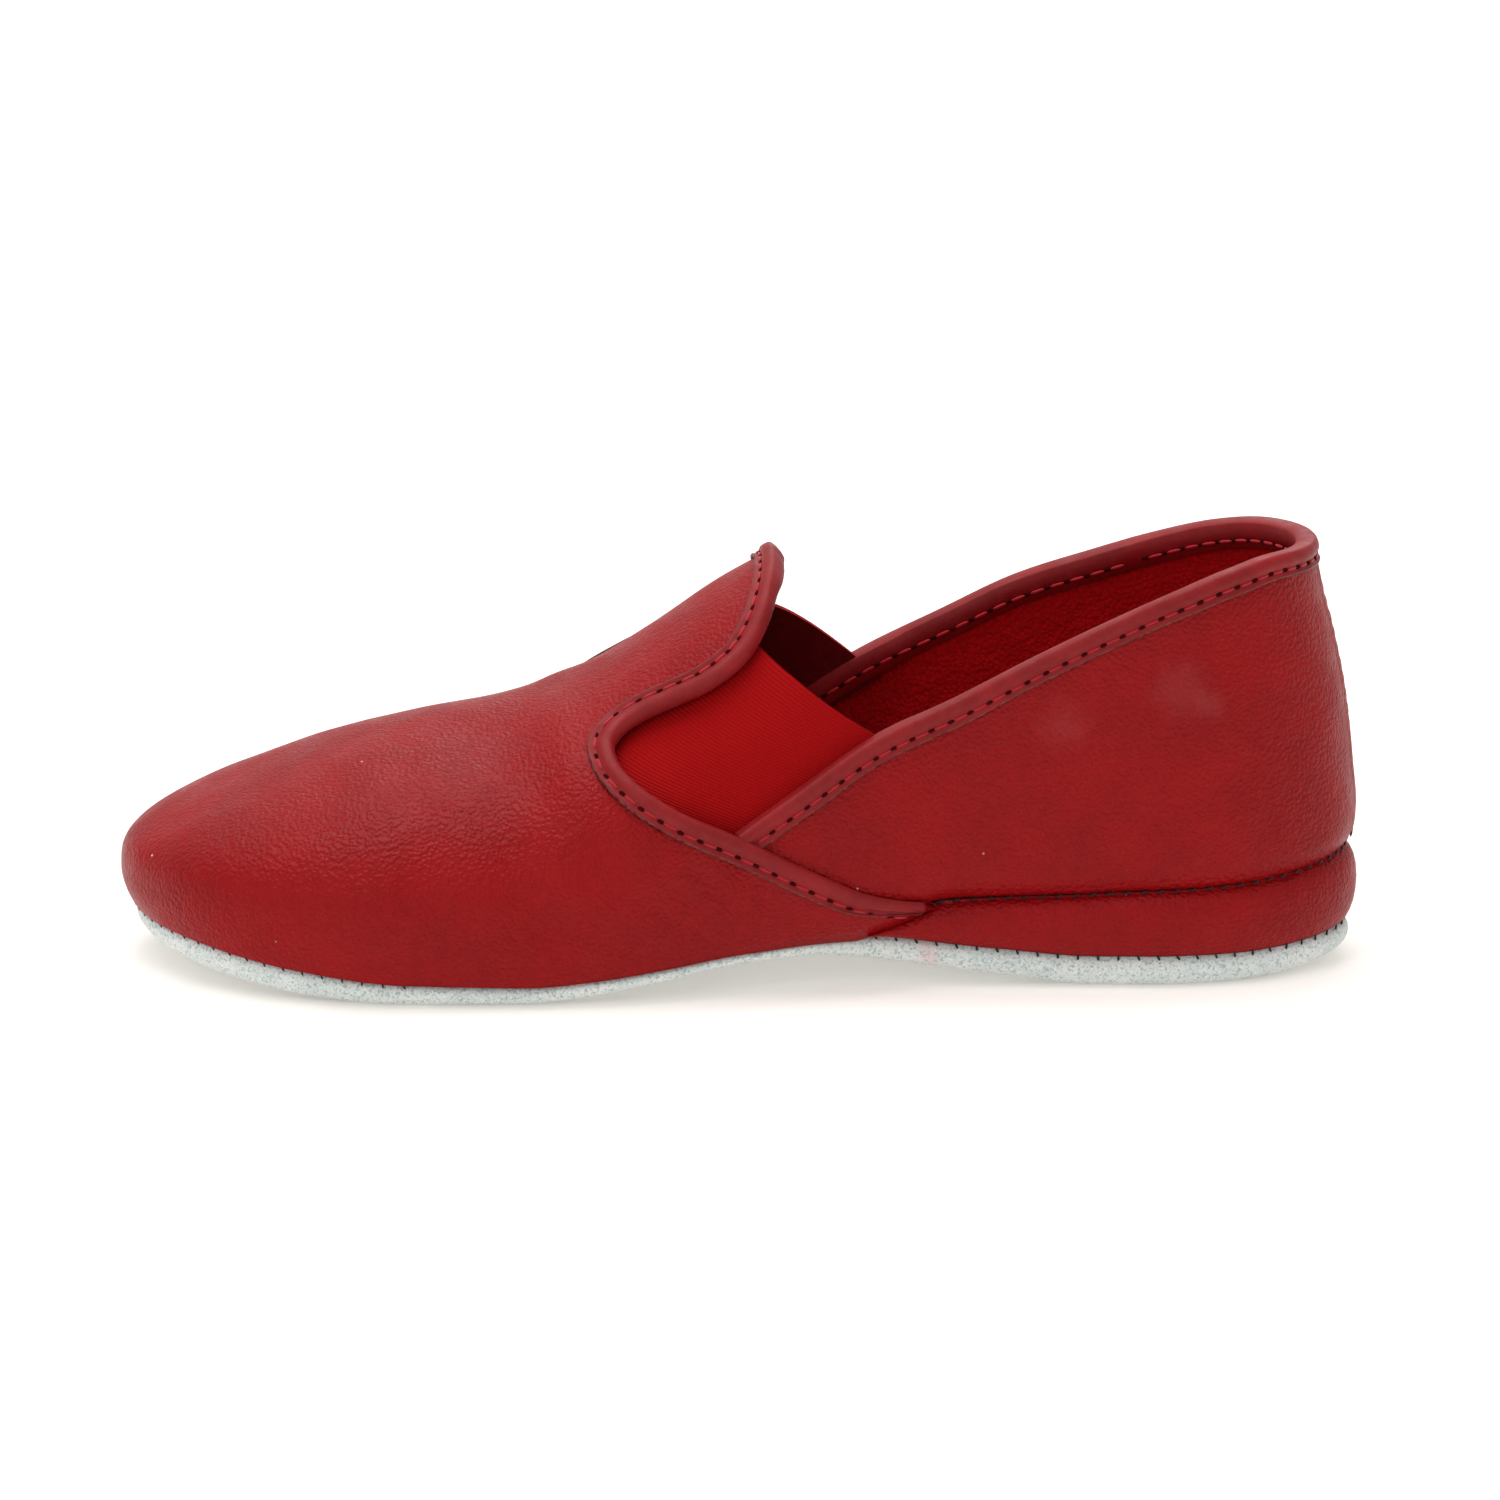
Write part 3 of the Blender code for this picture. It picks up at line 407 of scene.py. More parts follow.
# Unevenness of drawn leather: height, size of the waves, seed
VAMP_WAVES = ((0.00022, 0.019, 3), (0.00010, 0.008, 5))
grids = []
for side in (-1, 1):
    grid, normal = vamp_grid(side, PROUD)
    swell, fade = settled_leather(grid, side)
    swell = swell + fade * sum(height * lattice(grid, size, seed) for height, size, seed in VAMP_WAVES)
    grids.append(grid + normal * swell[..., None])
rows, columns = grids[0].shape[:2]
count = rows * columns
close_middle(grids)
vamp = mesh_piece("vamp", np.concatenate([grid.reshape(-1, 3) for grid in grids]),
                  [quads(rows, columns, turned=True), quads(rows, columns, count)], 0.00001)
walled(vamp, LEATHER)


class Nodes:
    """Short hand for a material's nodes: a call adds a node, sets its inputs and links what it is given."""

    def __init__(self, name):
        self.material = bpy.data.materials.new(name)
        self.material.use_nodes = True
        self.tree = self.material.node_tree
        self.shader = self.tree.nodes["Principled BSDF"]
        self.place = self.add("ShaderNodeTexCoord").outputs["Object"]

    def add(self, kind, **inputs):
        node = self.tree.nodes.new(kind)
        self.set(node, **inputs)
        return node

    def give(self, socket, value):
        """Links an output to a socket, or sets the socket's value."""
        if isinstance(value, bpy.types.NodeSocket):
            self.tree.links.new(value, socket)
        else:
            socket.default_value = value

    def set(self, node, **inputs):
        """Values and links for a node's inputs, by name, or by number as i0, i1."""
        for key, value in inputs.items():
            socket = node.inputs[int(key[1:])] if key[0] == "i" and key[1:].isdigit() else node.inputs[
                key.replace("_", " ")]
            self.give(socket, value)

    def noise(self, scale, detail=2.0, roughness=0.5, vector=None):
        """Cloudy value from 0 to 1."""
        return self.add("ShaderNodeTexNoise", Vector=vector or self.place, Scale=scale, Detail=detail,
                        Roughness=roughness).outputs["Fac"]

    def cells(self, scale, feature="F1"):
        """Distance to the nearest of scattered points."""
        node = self.add("ShaderNodeTexVoronoi", Vector=self.place, Scale=scale)
        node.feature = feature
        return node.outputs["Distance"]

    def ramp(self, value, low, high, bottom=0.0, top=1.0):
        """Smooth step of a value from one range to another."""
        node = self.add("ShaderNodeMapRange", Value=value)
        node.clamp = True
        node.interpolation_type = "SMOOTHSTEP"
        self.set(node, From_Min=low, From_Max=high, To_Min=bottom, To_Max=top)
        return node.outputs["Result"]

    def math(self, operation, first, second):
        """Result of an operation on two values."""
        node = self.add("ShaderNodeMath", i0=first, i1=second)
        node.operation = operation
        return node.outputs[0]

    def times(self, first, second):
        """Product of two values."""
        return self.math("MULTIPLY", first, second)

    def mix(self, share, first, second):
        """Blend of two colours."""
        node = self.tree.nodes.new("ShaderNodeMix")
        node.data_type = "RGBA"
        for socket, value in ((node.inputs[0], share), (node.inputs[6], first), (node.inputs[7], second)):
            self.give(socket, (*value, 1.0) if isinstance(value, tuple) and len(value) == 3 else value)
        return node.outputs[2]

    def spot(self, at, radius):
        """1 at a point of the shoe in metres, falling to 0 at a radius, ragged at its rim."""
        away = self.add("ShaderNodeVectorMath", i0=self.place, i1=at)
        away.operation = "DISTANCE"
        ragged = self.math("ADD", away.outputs["Value"], self.times(self.noise(260, 4.0), radius))
        return self.ramp(ragged, 1.5 * radius, 0.5 * radius)

    def bump(self, height, distance, strength=1.0, under=None):
        """Relief of a height over what lies under it."""
        node = self.add("ShaderNodeBump", Height=height, Distance=distance, Strength=strength)
        if under is not None:
            self.set(node, Normal=under)
        return node.outputs["Normal"]


RED, RED_DEEP, RED_LIGHT = (0.258, 0.0020, 0.0033), (0.214, 0.0016, 0.0028), (0.310, 0.0050, 0.0070)
PORE, DUST, SPECK = (0.11, 0.003, 0.005), (0.52, 0.20, 0.20), (0.72, 0.62, 0.60)
GRAIN, PIT, PUCKER = 0.00020, 0.00016, 0.00030


def leather_paint(name, dusty):
    """Pigmented grain leather: mottled red, dark pores, pebble and fine pits in the bump, pale scuffs."""
    n = Nodes(name)
    mottle = n.ramp(n.noise(48, 4.0, 0.6), 0.35, 0.68)
    fine = n.ramp(n.noise(420, 3.0), 0.3, 0.7)
    colour = n.mix(mottle, RED_DEEP, RED)
    colour = n.mix(n.times(fine, 0.22), colour, RED_LIGHT)
    pores = n.ramp(n.cells(1050), 0.05, 0.32)
    colour = n.mix(n.ramp(pores, 0.0, 1.0, 0.22, 0.0), colour, PORE)
    for at, radius, strength in dusty:
        colour = n.mix(n.times(n.spot(at, radius), strength), colour, DUST)
    specks = n.ramp(n.cells(95), 0.028, 0.018)
    colour = n.mix(n.times(specks, n.ramp(n.noise(20), 0.56, 0.66)), colour, SPECK)
    rough = n.ramp(n.noise(150, 4.0), 0.3, 0.7, 0.36, 0.46)
    pebble = n.bump(n.ramp(n.cells(1250, "SMOOTH_F1"), 0.1, 0.7, 1.0, 0.0), GRAIN, 0.90)
    pits = n.bump(n.noise(2100, 2.0, 0.6), PIT, 0.80, pebble)
    wrinkle = n.bump(n.noise(300, 3.0, 0.6), PUCKER, 0.12, pits)
    n.set(n.shader, Base_Color=colour, Roughness=rough, Normal=wrinkle, Specular_IOR_Level=0.12)
    return n.material


cover(vamp, leather_paint("vamp_leather", ()))
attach(vamp, "root")
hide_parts("upper")

# Quarter
# The rear of the upper, closed by one seam down the back of the heel and caught under the vamp's rear edge.
# Its top line is cut lower on the outer side.
collar_rows = np.array(((0.035, 0.994, 0.994), (0.072, 1.000, 0.984), (0.112, 0.980, 0.960),
                        (0.160, 0.934, 0.920), (0.206, 0.876, 0.880), (0.270, 0.788, 0.820),
                        (0.332, 0.696, 0.732), (0.399, 0.608, 0.632), (0.465, 0.480, 0.500),
                        (0.512, 0.388, 0.400), (0.545, 0.320, 0.325)))
topline = {-1: cubic(collar_rows[:, 0] * LENGTH, collar_rows[:, 1] * BACK),
           1: cubic(collar_rows[:, 0] * LENGTH, collar_rows[:, 2] * BACK)}
FOLD = 0.0011
QUARTER_FRONT = 0.530 * LENGTH
FOOT_LEVEL, HEAD_LEVEL = 0.25 * BACK, 0.95 * BACK


def raw_collar(s, side):
    """Height of the quarter's raw edge under its binding."""
    return topline[side](s) - FOLD


def heel_point(side, turn, z):
    """Skin round the heel at a turn from the back: an ellipse at each height."""
    depth = HEEL_CENTRE - setback(z)
    y = side * reach_at(np.full_like(z, HEEL_CENTRE), z, side) * np.sin(turn) + swing(HEEL_CENTRE)
    return np.stack(np.broadcast_arrays(MID - HEEL_CENTRE + depth * np.cos(turn), y, z), -1)


def bend_station(turn, level):
    """Station of a turn round the heel, for the set-back of the back at a level."""
    return HEEL_CENTRE - (HEEL_CENTRE - setback(level)) * np.cos(turn)


def quarter_grid(rows, straight, bend, front, rise=0.0):
    """Columns from the outer front round the heel to the inner front, rows from lower edge to top line."""
    share = np.linspace(0, 1, rows)[:, None]
    parts = []
    for side in (-1, 1):
        s = np.linspace(front, HEEL_CENTRE, straight + 1)[None, :-1]
        low, top = upper_low(s) + rise, raw_collar(s, side)
        flat = side_point(side, s + 0 * share, low + (top - low) * share)
        turn = 0.5 * np.pi * np.linspace(1, 0, bend + 1)[None, :]
        base = bend_station(turn, FOOT_LEVEL)
        head = bend_station(turn, HEAD_LEVEL)
        low, top = upper_low(base) + rise, raw_collar(head, side)
        round_part = heel_point(side, turn + 0 * share, low + (top - low) * share)
        whole = np.concatenate((flat, round_part), 1)
        parts.append(whole if side < 0 else whole[:, -2::-1])
    return np.concatenate(parts, 1)


# Depth and half width of the back seam's valley, then height, place and half width of the two lips beside it
SEAM_DEEP, SEAM_WIDE, LIP_HIGH, LIP_AT, LIP_WIDE, BEHIND = 0.00070, 0.0008, 0.00045, 0.0022, 0.0013, 0.1
QUARTER_ROWS, CALM_ROWS, TUCK_DEEP, TUCK_HIGH = 56, 8, 0.0010, 0.0022
grid = quarter_grid(QUARTER_ROWS, 110, 46, QUARTER_FRONT)
normal = outward(grid)
seam = np.exp(-((grid[..., 1] - swing(HEEL_CENTRE)) / SEAM_WIDE) ** 2) * (grid[..., 0] > BEHIND)
lips = np.exp(-((np.abs(grid[..., 1]) - LIP_AT) / LIP_WIDE) ** 2) * (grid[..., 0] > BEHIND)
soft = 0.00035 * lattice(grid, 0.028, 11) + 0.00012 * lattice(grid, 0.009, 12)
above_wedge = grid[..., 2] - upper_low(MID - grid[..., 0])
soft -= TUCK_DEEP * np.exp(-(above_wedge / TUCK_HIGH) ** 2)
soft *= np.clip((np.arange(QUARTER_ROWS)[::-1] / CALM_ROWS)[:, None], 0, 1)
grid = grid + normal * (soft - SEAM_DEEP * seam + LIP_HIGH * lips)[..., None]
quarter = mesh_piece("quarter", grid, quads(*grid.shape[:2]))
walled(quarter, LEATHER)
cover(quarter, leather_paint("quarter_leather", (
    ((0.089, -0.0300, 0.064), 0.009, 0.055), ((0.095, -0.0290, 0.061), 0.005, 0.05),
    ((0.065, -0.0310, 0.057), 0.008, 0.05))))
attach(quarter, "root")
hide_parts("upper")

# Bindings
# Strips of the same leather folded over the raw edges of vamp and quarter and stitched through. The outer
# leg ends in a raw cut edge that shows dark brown below the stitches.
STITCH_AT, CUT_AT = 0.0028, 0.0043


def skin_value(p):
    """Negative inside the skin, nought on it, positive outside."""
    s, z = MID - p[..., 0], p[..., 2]
    clear = np.maximum(s, HEEL_CENTRE)
    y = p[..., 1] - swing(clear)
    wide = np.where(y < 0, reach_at(clear, z, -1), reach_at(clear, z, 1))
    full = np.where(y < 0, reach(clear, -1), reach(clear, 1))
    middle, power = widest(clear), squareness(clear)
    up = np.maximum((z - middle) / (crown(clear) - middle), 0.0)
    arch = ((np.abs(y) / full) ** power + up ** power) ** (1 / power) - 1
    flank = np.where(z <= middle, np.abs(y) / wide - 1, arch)
    bend = np.hypot((HEEL_CENTRE - s) / (HEEL_CENTRE - setback(z)), y / np.maximum(wide, 1e-6)) - 1
    return np.where(s < HEEL_CENTRE, bend, flank)


def skin_slope(p, step=0.0002):
    """Gradient of the skin value, by differences over a small step on each axis."""
    return np.stack([(skin_value(p + a) - skin_value(p - a)) / (2 * step) for a in np.eye(3) * step], -1)


def on_skin(p, offset):
    """Nearest skin points by a few Newton steps, moved out along the normal."""
    for _ in range(4):
        slope = skin_slope(p)
        p = p - slope * (skin_value(p) / np.sum(slope ** 2, -1))[..., None]
    return p + unit(skin_slope(p)) * np.asarray(offset)[..., None]


def path_frame(path):
    """Tangent, outward normal and direction into the panel at each point of a path on the skin."""
    ahead, normal = unit(np.gradient(path, axis=0)), unit(skin_slope(path))
    return ahead, normal, unit(np.cross(normal, ahead))


def smooth_run(values, times):
    """Moving average along a run with its ends kept."""
    for _ in range(times):
        values[1:-1] = 0.25 * values[:-2] + 0.5 * values[1:-1] + 0.25 * values[2:]
    return values


def fold_strip(name, path, sense, wall_out, wall_in, leg, stitch_phase, pitch, narrow=1.0):
    """A folded strip: a padded outer leg, sunk at its stitches, a roll over the edge and an inner leg.

    Each pair is how far into the panel a corner of the section lies from the raw edge, and how far out from
    the skin. The section goes from the cut edge over the stitches and the roll to the inner leg and back.
    """
    ahead, normal, into = path_frame(path)
    into *= sense
    travelled = lengths_along(path)
    pull = 0.5 + 0.5 * np.cos(2 * np.pi * (travelled / pitch - stitch_phase))
    shallow, deep = 0.00018 * pull, 0.00022 * pull
    uneven = 0.00025 * lattice(path, 0.011, 21)
    out = wall_out + HAIR_GAP
    cut = (CUT_AT + uneven) * narrow
    sewn = STITCH_AT * narrow
    shape = [(cut, out), (cut + 0.0001, out + 0.0003), (cut, out + 0.00068), (cut - 0.0004, out + 0.00085),
             (sewn + 0.0009 * narrow, out + 0.00072), (sewn + 0.0004 * narrow, out + 0.00055 - shallow),
             (sewn, out + 0.00045 - deep), (sewn - 0.0004 * narrow, out + 0.00055 - shallow),
             (sewn - 0.0010 * narrow, out + 0.0009 - 0.0001 * pull), (0.0014 * narrow, out + 0.00112),
             (0.0006, out + 0.0011), (-0.0002, out + 0.00095), (-0.0007, out + 0.0006)]
    roll_start, roll_end = out + 0.0002, wall_in + 0.0004
    for share in (0.0, 0.25, 0.5, 0.75, 1.0):
        beyond = -0.00105 + 0.0002 * (2 * share - 1) ** 2
        shape.append((beyond, roll_start * (1 - share) + roll_end * share))
    shape += [(-0.0006, wall_in), (leg * 0.35, wall_in - 0.00005), (leg - 0.0003, wall_in),
              (leg - 0.0002, wall_in + 0.0006), (-0.0003, wall_in + 0.0007), (-0.0003, out),
              (0.5 * cut, out)]
    ones = np.ones(len(path))
    grid = []
    for depth, offset in shape:
        depth, offset = depth * ones, offset * ones
        moved = path + into * depth[:, None]
        held = on_skin(moved, offset)
        free = moved + normal * offset[:, None]
        grid.append(np.where((depth > 0)[:, None], held, free))
    grid = np.stack(grid, 1)
    count = grid.shape[1]
    caps = [np.arange(count)[None, ::-1], (len(path) - 1) * count + np.arange(count)[None, :]]
    faces = [quads(len(path), count, closed=True)] + caps
    piece = mesh_piece(name, grid, faces)
    cut_edge = np.zeros(grid.shape[:2])
    cut_edge[:, :4] = (0.7, 1.0, 0.9, 0.25)
    worn = piece.data.attributes.new("cut_edge", "FLOAT", "POINT")
    worn.data.foreach_set("value", cut_edge.ravel())
    return piece, ahead, into


STRIP_DEEP, STRIP, STRIP_PALE = (0.185, 0.0038, 0.0054), (0.240, 0.0062, 0.0082), (0.27, 0.016, 0.020)
FIBRE_DARK, FIBRE = (0.040, 0.009, 0.008), (0.135, 0.048, 0.042)


def binding_paint(name):
    """Thinned strip leather, duller and browner than the panels, with dark raw fibre at its cut edge."""
    n = Nodes(name)
    worn = n.add("ShaderNodeAttribute")
    worn.attribute_name = "cut_edge"
    fibre = n.mix(n.ramp(n.noise(900, 3.0), 0.3, 0.7), FIBRE_DARK, FIBRE)
    colour = n.mix(n.ramp(n.noise(70, 4.0, 0.6), 0.35, 0.68), STRIP_DEEP, STRIP)
    colour = n.mix(n.times(n.ramp(n.noise(520, 3.0), 0.35, 0.7), 0.20), colour, STRIP_PALE)
    colour = n.mix(n.ramp(worn.outputs["Fac"], 0.25, 0.85), colour, fibre)
    pebble = n.bump(n.noise(1350, 3.0, 0.55), 0.00010, 0.6)
    wrinkle = n.bump(n.noise(260, 3.0), 0.00025, 0.35, pebble)
    n.set(n.shader, Base_Color=colour, Roughness=n.ramp(n.noise(180, 3.0), 0.3, 0.7, 0.44, 0.60),
          Normal=wrinkle, Specular_IOR_Level=0.22)
    return n.material


# Stitch pitch, phase of the stitches along a strip, points of an edge, of a whole strip, and smoothings
PITCH, PHASE, EDGE_POINTS, STRIP_POINTS, SMOOTHINGS = 0.0044, 0.5, 190, 400, 6
outer_run, _, outer_z = edge_run(-1, EDGE_POINTS)
inner_run, _, inner_z = edge_run(1, EDGE_POINTS)
keep = outer_z > 0.2155 * INSTEP
path = np.concatenate((outer_run[keep], inner_run[keep][-2::-1]))
level = np.concatenate((outer_z[keep], inner_z[keep][-2::-1]))
even_path = even(np.column_stack((path, level)), STRIP_POINTS)
vamp_path, level = smooth_run(even_path[:, :3], SMOOTHINGS), even_path[:, 3]
# The inner leg lies over the quarter below the gore, behind the vamp beside it, and is free round the tongue
INNER_LEG, TIP_NARROW, TIP_LONG = 0.0046, 0.40, 0.055
over = 1 - blend(level, 0.400 * INSTEP, 0.440 * INSTEP)
free = blend(level, 0.925 * INSTEP, 0.965 * INSTEP)
wall_in = HAIR_GAP * over + (PROUD - WALL) * (1 - over) - 0.0010 * free
leg = INNER_LEG * blend(level, 0.968 * INSTEP, 0.990 * INSTEP)
from_end = np.linspace(0, 1, len(vamp_path))
narrow = TIP_NARROW + (1 - TIP_NARROW) * blend(np.minimum(from_end, 1 - from_end), 0.0, TIP_LONG)
vamp_binding, vamp_ahead, vamp_into = fold_strip("vamp_binding_strip", vamp_path, 1.0, PROUD, wall_in, leg,
                                                 PHASE, PITCH, narrow)
cover(vamp_binding, binding_paint("vamp_binding_leather"))
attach(vamp_binding, "root")
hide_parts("vamp_binding")

# The collar strip ends in front under the vamp; its inner leg is short there and lies off the gores' backs
COLLAR_END, COLLAR_POINTS, COLLAR_LEG, LEG_LOST, OFF_GORE = 0.510 * LENGTH, 460, 0.0052, 0.0040, 0.0009
sides = []
for side in (-1, 1):
    s = np.linspace(COLLAR_END, HEEL_CENTRE, 240)[:-1]
    straight = side_point(side, s, raw_collar(s, side))
    turn = 0.5 * np.pi * np.linspace(1, 0, 120)
    head = bend_station(turn, HEAD_LEVEL)
    bent = heel_point(side, turn, raw_collar(head, side))
    run = np.concatenate((straight, bent))
    sides.append(run if side < 0 else run[-2::-1])
collar_path = smooth_run(even(np.concatenate(sides), COLLAR_POINTS), SMOOTHINGS)
station = MID - collar_path[:, 0]
over_gore = blend(station, 0.355 * LENGTH, 0.378 * LENGTH)
leg = COLLAR_LEG - LEG_LOST * blend(station, 0.490 * LENGTH, COLLAR_END)
wall_in = -WALL - LEATHER - OFF_GORE * over_gore
collar_binding, collar_ahead, collar_into = fold_strip("collar_binding_strip", collar_path, -1.0, 0.0,
                                                       wall_in, leg, PHASE, PITCH)
cover(collar_binding, binding_paint("collar_binding_leather"))
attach(collar_binding, "root")
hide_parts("collar_binding")

# Top stitches
# Bright red thread along each binding, drawn tight between its needle holes. It shows on the outer legs
# and, on the collar binding, on the inner leg too.
THREAD, STITCH_LONG, HOLE_LONG, HOLE_WIDE, HOLE_HIGH = 0.00042, 0.0031, 0.0017, 0.0009, 0.0003


def beads(name, centre, along, out, long, wide, high, rings=7, round_steps=8):
    """Many small rounded rods as one mesh: each a circle swept from tip to tip with a rounded profile."""
    side_way = unit(np.cross(out, along))
    t = np.linspace(-1, 1, rings)
    swell = np.sqrt(np.maximum(1 - np.abs(t) ** 3, 0.02))
    turn = 2 * np.pi * np.arange(round_steps) / round_steps
    swell = swell[None, :, None, None]
    rod = (centre[:, None, None, :] + along[:, None, None, :] * (t * 0.5 * long)[None, :, None, None]
           + side_way[:, None, None, :] * (0.5 * wide * np.cos(turn))[None, None, :, None] * swell
           + out[:, None, None, :] * (0.5 * high * np.sin(turn))[None, None, :, None] * swell)
    each = rings * round_steps
    one = quads(rings, round_steps, closed=True, turned=True)
    first = (np.arange(len(centre)) * each)[:, None, None]
    ring = np.arange(round_steps)
    caps_low = (ring[None, None, :] + first).reshape(-1, round_steps)
    caps_high = ((each - round_steps + ring)[None, None, ::-1] + first).reshape(-1, round_steps)
    return mesh_piece(name, rod, [(one[None] + first).reshape(-1, 4), caps_low, caps_high])


def stitch_row(path, into, ahead, offset, pitch, phase):
    """Middles of the stitches: points at even steps along the path, moved in to the stitch line and out."""
    travelled = lengths_along(path)
    at = np.arange(phase * pitch, travelled[-1] - 0.3 * pitch, pitch)
    pick = [np.stack([np.interp(at, travelled, v[:, k]) for k in range(3)], 1) for v in (path, into, ahead)]
    held = on_skin(pick[0] + pick[1] * STITCH_AT, np.full(len(at), offset))
    out = unit(skin_slope(held))
    along = pick[2] - out * np.sum(pick[2] * out, 1, keepdims=True)
    return held, unit(along), out


def thread_paint(name, colour, twist):
    """Twisted polyester thread: fine slanted plies and a soft gloss."""
    n = Nodes(name)
    ply = n.add("ShaderNodeTexWave", Vector=n.place, Scale=twist, Distortion=1.5).outputs["Fac"]
    dark = tuple(0.55 * value for value in colour)
    n.set(n.shader, Base_Color=n.mix(ply, dark, colour), Roughness=0.5, Normal=n.bump(ply, 0.00006, 0.7),
          Specular_IOR_Level=0.25, Sheen_Weight=0.10)
    return n.material


# How high thread lies on the outer legs, how deep on the inner one, and how near the start of the heel's
# bend the inner row leaves a stitch out
THREAD_HIGH, THREAD_DEEP, BEND_CLEAR = 0.00062, WALL + 0.0022, 0.0035
vamp_row = stitch_row(vamp_path, vamp_into, vamp_ahead, PROUD + THREAD_HIGH, PITCH, 1.0)
collar_row = stitch_row(collar_path, collar_into, collar_ahead, THREAD_HIGH, PITCH, 1.0)
short = slice(4, -4)
inner_row = stitch_row(collar_path[short], collar_into[short], collar_ahead[short], -THREAD_DEEP, PITCH, 0.9)
settled = np.abs(MID - inner_row[0][:, 0] - HEEL_CENTRE) > BEND_CLEAR
inner_row = (inner_row[0][settled], inner_row[1][settled], -inner_row[2][settled])
centre, along, out = (np.concatenate(runs) for runs in zip(vamp_row, collar_row, inner_row))
top_stitches = beads("top_stitches", centre, along, out, STITCH_LONG, THREAD * 1.6, THREAD * 1.3)
cover(top_stitches, thread_paint("red_thread", (0.52, 0.006, 0.018), 1400))
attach(top_stitches, "root")
# Dark beads at the needle holes between the stitches: painted shade in the holes
holes = beads("needle_holes", centre + along * 0.5 * PITCH - out * 0.00008, along, out, HOLE_LONG, HOLE_WIDE,
              HOLE_HIGH, 5, 8)
n = Nodes("needle_hole_shade")
n.set(n.shader, Base_Color=n.mix(n.noise(600), (0.022, 0.002, 0.002), (0.065, 0.005, 0.006)), Roughness=0.9,
      Specular_IOR_Level=0.0)
cover(holes, n.material)
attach(holes, "root")

# Gores
# Panels of bright red ribbed elastic, sewn behind both bindings; their backs, which face into the shoe, are
# painted dark maroon as shade. The ribs run along the top edge, which sags a little on the outer side and
# bows up on the inner one.
# Rungs from the top edge down: rear station share and height share of the instep, then front ones
gore_rows = np.array((
    (0.380, 0.600, 0.506, 0.868), (0.405, 0.552, 0.539, 0.785), (0.432, 0.500, 0.574, 0.712),
    (0.460, 0.440, 0.605, 0.645), (0.485, 0.380, 0.628, 0.575), (0.505, 0.325, 0.622, 0.480)))
VALLEY, RIB, FADED = (0.255, 0.0012, 0.0018), (0.385, 0.0020, 0.0028), (0.42, 0.005, 0.005)
# Colours of the gores' backs: painted shade for the inside of the shoe, darker than the elastic's own red
SHADED_BACK_DARK, SHADED_BACK_PALE = (0.060, 0.0015, 0.003), (0.140, 0.003, 0.005)
RIBS, CROSS_RIBS, RUNGS, ACROSS = 19.0, 34.0, 200, 60
gore_paint = Nodes("elastic_webbing")
weave = gore_paint.add("ShaderNodeUVMap").outputs["UV"]
rib = gore_paint.add("ShaderNodeTexWave", Vector=weave, Scale=1.0, Distortion=0.5)
rib.bands_direction = "Y"
gore_paint.set(rib, Scale=RIBS, Detail=1.0, Detail_Scale=4.0)
cross = gore_paint.add("ShaderNodeTexWave", Vector=weave, Scale=CROSS_RIBS, Distortion=0.8)
cross.bands_direction = "X"
threads_across = gore_paint.ramp(cross.outputs["Fac"], 0.0, 1.0, 0.45, 1.0)
knit = gore_paint.times(rib.outputs["Fac"], threads_across)
tone = gore_paint.mix(knit, VALLEY, RIB)
patchy = gore_paint.ramp(gore_paint.noise(60, 4.0), 0.4, 0.7)
tone = gore_paint.mix(gore_paint.times(patchy, 0.20), tone, FADED)
gore_paint.set(gore_paint.shader, Base_Color=tone, Roughness=0.82, Specular_IOR_Level=0.08,
               Normal=gore_paint.bump(knit, 0.00022, 0.7))
# Material for the gores' backs: painted shade, dark maroon where the elastic faces into the shoe
shaded_gore_back = Nodes("elastic_back_painted_shade")
shaded_back_tone = shaded_gore_back.mix(shaded_gore_back.noise(420, 3.0), SHADED_BACK_DARK, SHADED_BACK_PALE)
shaded_gore_back.set(shaded_gore_back.shader, Base_Color=shaded_back_tone, Roughness=0.95, Specular_IOR_Level=0.1,
              Normal=shaded_gore_back.bump(shaded_gore_back.noise(900, 3.0), 0.0002, 0.6))
